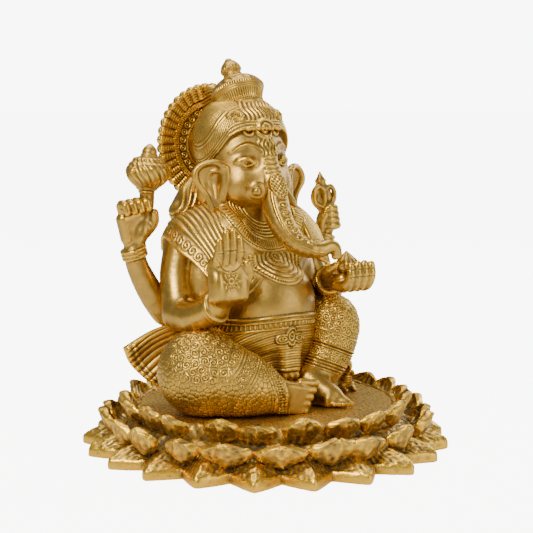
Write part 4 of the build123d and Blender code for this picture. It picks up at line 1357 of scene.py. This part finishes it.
def makeEar(side):
    # built flat: u out from the head, v up, w forward
    c = Clay((-8, -36, -12), (32, 26, 14), 0.7)
    u, v, w = c.x, c.y, c.z
    outline = spline(ear["outline"], 80)
    d2 = np.full(np.broadcast_shapes(u.shape, v.shape), 1e9, np.float32)
    flip = np.ones(d2.shape, bool)
    for a, b in zip(outline[:-1], outline[1:]):
        e = b - a
        pu, pv = u - a[0], v - a[1]
        t = np.clip((pu * e[0] + pv * e[1]) / (e @ e + 1e-9), 0, 1)
        d2 = np.minimum(d2, (pu - t * e[0]) ** 2 + (pv - t * e[1]) ** 2)
        above = (v >= a[1]) != (v >= b[1])
        cross = u < a[0] + (v - a[1]) * e[0] / (e[1] if abs(e[1]) > 1e-6 else 1e-6)
        flip = np.where(above & cross, ~flip, flip)
    flat = np.sqrt(d2) * np.where(flip, 1, -1)
    hollow = ear["dish"] * np.exp(-(((u - 11) / 9) ** 2 + ((v - 5) / 16) ** 2))
    bend = -hollow + 0.10 * u
    plate = np.maximum(flat, np.abs(w - bend) - 1.5)
    c.add(plate)
    rim = []
    for a, b in outline[2:60:5]:
        thick = ear["rim"] if b > 0 else ear["rim"] - 0.6
        rim.append((a - 1.0, b - 1.0, 0.10 * a + 1.2 + 1.0 * math.sin(b / 5), thick))
    c.add(c.tube(rim, 34), 1.4)
    fold = [(4, 14, 0, 1.8), (12, 12, -1.8, 1.6), (14.5, 3, -2.6, 1.5), (10, -8, -1.2, 1.5),
            (6, -18, 0.5, 1.4)]
    c.add(c.tube(fold, 14), 2.2)
    c.add(c.tube([(0, 15, -1, 4.5), (-1, 2, -1, 5), (1, -12, -1, 4)], 8), 3)
    me = c.mesh("ear")
    s = 1 if side > 0 else -1
    turn = math.radians(ear["turnBack"])
    out = np.array([s * math.cos(turn), math.sin(turn), 0])
    front = np.array([s * math.sin(turn), -math.cos(turn), 0])
    co = points(me)
    place = np.array([s * ear["side"], 13.5, ear["rightHeight"] if s < 0 else ear["leftHeight"]])
    up = np.array([-s * 0.04, -0.06, 0.86])
    world = place + co[:, :1] * out + co[:, 1:2] * up + co[:, 2:] * front
    me.vertices.foreach_set("co", world.astype(np.float32).ravel())
    if s > 0:
        me.flip_normals()
    me.update()
    name = "earLeft" if s > 0 else "earRight"
    finish(me, name, lambda p, n: castSkin(p), ["left_ear" if s > 0 else "right_ear"])


# profile rows are radius and height along the leaning axis
crown = {
    "lean": 28.5, "foot": (0, 37.0, 279.0), "flutes": 60, "teethPitch": 1.9, "finialAt": 26.0,
    "bowl": [(0.1, -9.8), (17.2, -9.6), (17.6, -5), (18.4, 0), (20.0, 4.5), (21.6, 8), (22.0, 10),
             (21.6, 12.4), (19.4, 15.8), (15.4, 19.0), (11.2, 21.2), (8.8, 22.8), (7.8, 25.0),
             (7.0, 26.2), (0.1, 26.4)],
    "finial": [(0.1, 0), (6.2, 0.1), (6.8, 1.4), (8.4, 3.2), (8.7, 5.2), (7.6, 8.2), (5.6, 10.8), (3.8, 12.6),
               (2.4, 14.4), (0.1, 15.5)],
}


def makeCrown():
    lean = math.radians(crown["lean"])
    axis = np.array([0, math.sin(lean), math.cos(lean)])
    foot = np.array(crown["foot"])

    def bowl(a, h, r):
        flute = between(h, -4, 5.0, 0.5) * 0.4 * np.cos(a * crown["flutes"])
        rings = 0.5 * (bump(h, -2.5, 0.6) + bump(h, 5.8, 0.6) + bump(h, 7.2, 0.5))
        teeth = between(h, 8.6, 11.6, 0.4) * (0.5 + 0.7 * hatch(a * 20, crown["teethPitch"]))
        marks = 0.4 * between(h, 13.0, 17.6, 0.5) * np.cos(a * 18 + 0.6 * h)
        steps = 0.7 * (bump(h, 19.0, 0.55) + bump(h, 21.4, 0.55) + bump(h, 23.8, 0.55))
        return flute + rings + teeth + marks + steps

    lathe("crownCasting", crown["bowl"], foot, axis, 540, 300, bowl, node=["crown"])

    def onion(a, h, r):
        return 0.22 * between(h, 1.5, 5, 0.6) * np.cos(a * 22) + 0.5 * bump(h, 0.8, 0.6)

    tip = foot + axis * crown["finialAt"]
    lathe("crownFinial", crown["finial"], tip, axis, 240, 120, onion, node=["crown_finial"])


halo = {"ribs": 40, "radius": 48.8, "lobe": 2.4, "rosettes": 26, "rosetteCircle": 27.4,
        "centre": (0.0, 86.0, 244.5), "back": 3.2}


def makeHalo():
    nA, nR = ((960, 130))
    ang = np.linspace(0, 2 * math.pi, nA, endpoint=False)
    lobe = np.abs(np.sin(ang * halo["ribs"] / 2))
    edge = halo["radius"] + halo["lobe"] * lobe**0.7
    t = np.linspace(0, 1, nR)
    r = edge[:, None] * (1 - t[None]) + 0.05 * t[None]
    turns = np.broadcast_to(ang[:, None], r.shape)
    local = turns * halo["ribs"] / 2
    rib = np.abs(np.sin(local)) ** 0.6
    h = np.zeros_like(r)
    out = step(r, 37.2, 38)
    h += out * (1.2 + 3.0 * rib)
    side = (local / math.pi - np.floor(local / math.pi)) - 0.5
    h += out * rib * 0.24 * np.cos(2 * math.pi * (r + 3.2 * np.abs(side)) / 2.3)
    h += between(r, 31.6, 36.6, 0.35) * (2.2 + 0.7 * hatch(turns * 34, 1.9))
    a0 = np.round(turns / (2 * math.pi) * halo["rosettes"]) * 2 * math.pi / halo["rosettes"]
    q = np.hypot((turns - a0) * 27.6, r - halo["rosetteCircle"])
    h += (1 - step(q, 2.7, 3.3)) * (1.1 + 0.5 * np.cos(2 * math.pi * q / 2.6))
    h += 0.8 * bump(r, 22.6, 0.9)
    h -= 1.0 * (1 - step(r, 0, 24))
    roll = np.sqrt(np.clip(1 - (1 - np.clip((edge[:, None] - r) / 2.2, 0, 1)) ** 2, 0, 1))
    front = -(h * roll + 1.2 * roll)
    back = halo["back"] * roll
    cx, cy, cz = halo["centre"]
    faces = [np.stack([cx + r * np.sin(turns), cy + y, cz + r * np.cos(turns)], -1) for y in (front, back)]
    sheet = np.concatenate([faces[0][:, ::-1], faces[1]], 1)
    me = gridMesh("halo", sheet, True, False)
    me.flip_normals()
    finish(me, "haloCasting", lambda p, n: 0.12 * noise(p, 3), ["halo"], smoothFirst=0)


mouse = {"x": 74.5, "earSide": 3.6, "fur": 0.12, "furPitch": 2.0944}


def makeMouse():
    c = Clay((62, -26, 34), (88, 6, 70), 0.6)
    c.add(c.tube([(76, -6, 38, 5.4), (76, -8, 46, 6.0), (75, -10, 54, 4.6), (74.5, -12, 59, 4.4)], 8))
    c.add(c.tube([(74.5, -12, 59.5, 4.4), (73.5, -16, 59, 3.2), (72.6, -19.5, 57.6, 1.5)], 5), 1.5)
    for s in (-1, 1):
        x = mouse["x"]
        paw = [(x + 0.5 + s * 4, -11, 51, 2.2), (x + s * 3.4, -16, 52, 1.8),
               (x - 0.5 + s * 1.2, -18.5, 54.5, 1.4)]
        hind = [(x + 1.5 + s * 4.6, -9, 41, 3.6), (x + 0.9 + s * 4.8, -13, 38.4, 2.4),
                (x + 0.5 + s * 4.6, -17, 37.6, 1.6)]
        c.add(c.ball((x + s * mouse["earSide"], -10, 63.4), (2.6, 1.2, 2.9)), 0.6)
        c.add(c.tube(paw, 6), 0.9)
        c.add(c.tube(hind, 6), 0.9)
        c.add(c.ball((73.8 + s * 2.2, -15.6, 60.8), 0.9), 0.3)
    c.add(c.tube([(77, -2, 38.5, 2.0), (82, 1, 38, 1.6), (85, -4, 37.8, 1.2)], 7), 1)
    c.clip(36.1 - c.z)
    me = c.mesh("mouse")

    def relief(p, n):
        return castSkin(p) * 0.5 + mouse["fur"] * np.sin(2 * math.pi * p[:, 2] / mouse["furPitch"])

    finish(me, "mouseCasting", relief, ["mouse"])


makeBody()
makeShawls()
makeSash()
print("body done")
makeRightLeg()
makeLeftLeg()
print("legs done")
makeBlessingArm()
makeOfferingArm()
makeSweet()
makeRearArm(-1, "rearRightArm", "rear_right_arm")
makeRearArm(1, "rearLeftArm", "rear_left_arm")
makeMace()
makeGoad()
print("arms done")
makeHead()
makeTrunk()
makeTusks()
makeEar(-1)
makeEar(1)
makeCrown()
makeHalo()
makeMouse()
print("head done")

# the fixings keep their CAD shape


fixings = {"dark": (0.46, 0.46, 0.45, 1), "light": (0.66, 0.66, 0.63, 1), "grainSize": 1600.0,
           "nodes": ("ring_screws", "ring_nuts", "figure_studs", "stud_washers", "stud_nuts")}


def steelMaterial():
    mat = bpy.data.materials.new("zincSteel")
    mat.use_nodes = True
    tree = mat.node_tree
    shader = tree.nodes["Principled BSDF"]
    grain = tree.nodes.new("ShaderNodeGroup")
    grain.node_tree = grainGroup
    grain.inputs["Grain Size"].default_value = fixings["grainSize"]
    tone = mixColour(tree, grain.outputs["Mottle"], fixings["dark"], fixings["light"])
    rough = rangeNode(tree, grain.outputs["Streak"], 0.3, 0.7, 0.28, 0.46)
    tree.links.new(tone, shader.inputs["Base Color"])
    tree.links.new(rough, shader.inputs["Roughness"])
    shader.inputs["Metallic"].default_value = 1.0
    return mat


zincSteel = steelMaterial()
for name in fixings["nodes"]:
    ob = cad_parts[name]
    ob.data.materials.clear()
    ob.data.materials.append(zincSteel)


studio = {
    "floorColour": (0.9, 0.9, 0.9, 1), "floorGlow": 7.5, "backGlow": 8.5,
    "aroundColour": (0.31, 0.297, 0.255, 1),      # what the metal mirrors
    "azimuth": -35.0, "lookDown": 7.25, "distance": 1.165, "height": 0.295, "lens": 97.26,
    "target": (0, 0, 0.16),      # the lights point here
}
lights = [      # name, place, size, watts, colour
    ("keySoftbox", (-1.15, -0.55, 1.15), (0.55, 0.55), 21.5, (1.0, 0.93, 0.74)),
    ("fillSoftbox", (0.55, -1.35, 0.55), (0.9, 1.1), 6.5, (1.0, 0.94, 0.78)),
    ("topSoftbox", (0.1, 0.35, 1.5), (1.2, 0.8), 13, (1.0, 0.95, 0.82)),
    ("rimStrip", (1.25, 0.35, 0.6), (0.3, 1.2), 6, (1.0, 1.0, 1.0)),
]


def plainMaterial(name, colour, roughness):
    mat = bpy.data.materials.new(name)
    mat.use_nodes = True
    tree = mat.node_tree
    shader = tree.nodes["Principled BSDF"]
    n = tree.nodes.new("ShaderNodeTexNoise")
    n.inputs["Scale"].default_value = 30.0
    darker = tuple(0.97 * v for v in colour[:3]) + (1,)
    tree.links.new(mixColour(tree, n.outputs["Fac"], colour, darker), shader.inputs["Base Color"])
    shader.inputs["Roughness"].default_value = roughness
    seen = tree.nodes.new("ShaderNodeLightPath")      # the sheet is white paper to the camera
    shader.inputs["Emission Color"].default_value = (1, 1, 1, 1)
    glow = mathNode(tree, "MULTIPLY", seen.outputs["Is Camera Ray"], studio["floorGlow"])
    tree.links.new(glow, shader.inputs["Emission Strength"])
    return mat


def makeRoom():
    x = np.linspace(-6, 14, 24)
    rows = np.stack(np.broadcast_arrays(x[:, None] - 4, x[None, :], 0.0), -1)
    me = gridMesh("studioFloor", rows)
    me.shade_smooth()
    ob = bpy.data.objects.new("studioFloor", me)
    bpy.context.scene.collection.objects.link(ob)
    ob.rotation_euler[2] = math.radians(studio["azimuth"])
    me.materials.append(plainMaterial("paleFloor", studio["floorColour"], 0.7))


def areaLight(name, place, size, power, colour):
    light = bpy.data.lights.new(name, "AREA")
    light.shape = "RECTANGLE"
    light.size, light.size_y = size
    light.energy = power
    light.color = colour
    ob = bpy.data.objects.new(name, light)
    bpy.context.scene.collection.objects.link(ob)
    ob.location = place
    ob.rotation_euler = (Vector(studio["target"]) - Vector(place)).to_track_quat("-Z", "Y").to_euler()


def makeWorld():
    world = bpy.data.worlds.new("studio")
    bpy.context.scene.world = world
    world.use_nodes = True
    tree = world.node_tree
    back = tree.nodes["Background"]
    seen = tree.nodes.new("ShaderNodeLightPath")
    direct = seen.outputs["Is Camera Ray"]
    tree.links.new(mixColour(tree, direct, studio["aroundColour"], (1, 1, 1, 1)), back.inputs["Color"])
    tree.links.new(rangeNode(tree, direct, 0, 1, 1.0, studio["backGlow"]), back.inputs["Strength"])


def makeCamera():
    cam = bpy.data.cameras.new("camera")
    cam.sensor_width = 36.0
    cam.lens = studio["lens"]
    ob = bpy.data.objects.new("camera", cam)
    bpy.context.scene.collection.objects.link(ob)
    turn = math.radians(studio["azimuth"])
    far = studio["distance"]
    ob.location = (math.sin(turn) * far, -math.cos(turn) * far, studio["height"])
    ob.rotation_euler = (math.radians(90 - studio["lookDown"]), 0, turn)
    bpy.context.scene.camera = ob


makeRoom()
makeWorld()
makeCamera()
for light in lights:
    areaLight(*light)
print("studio done")
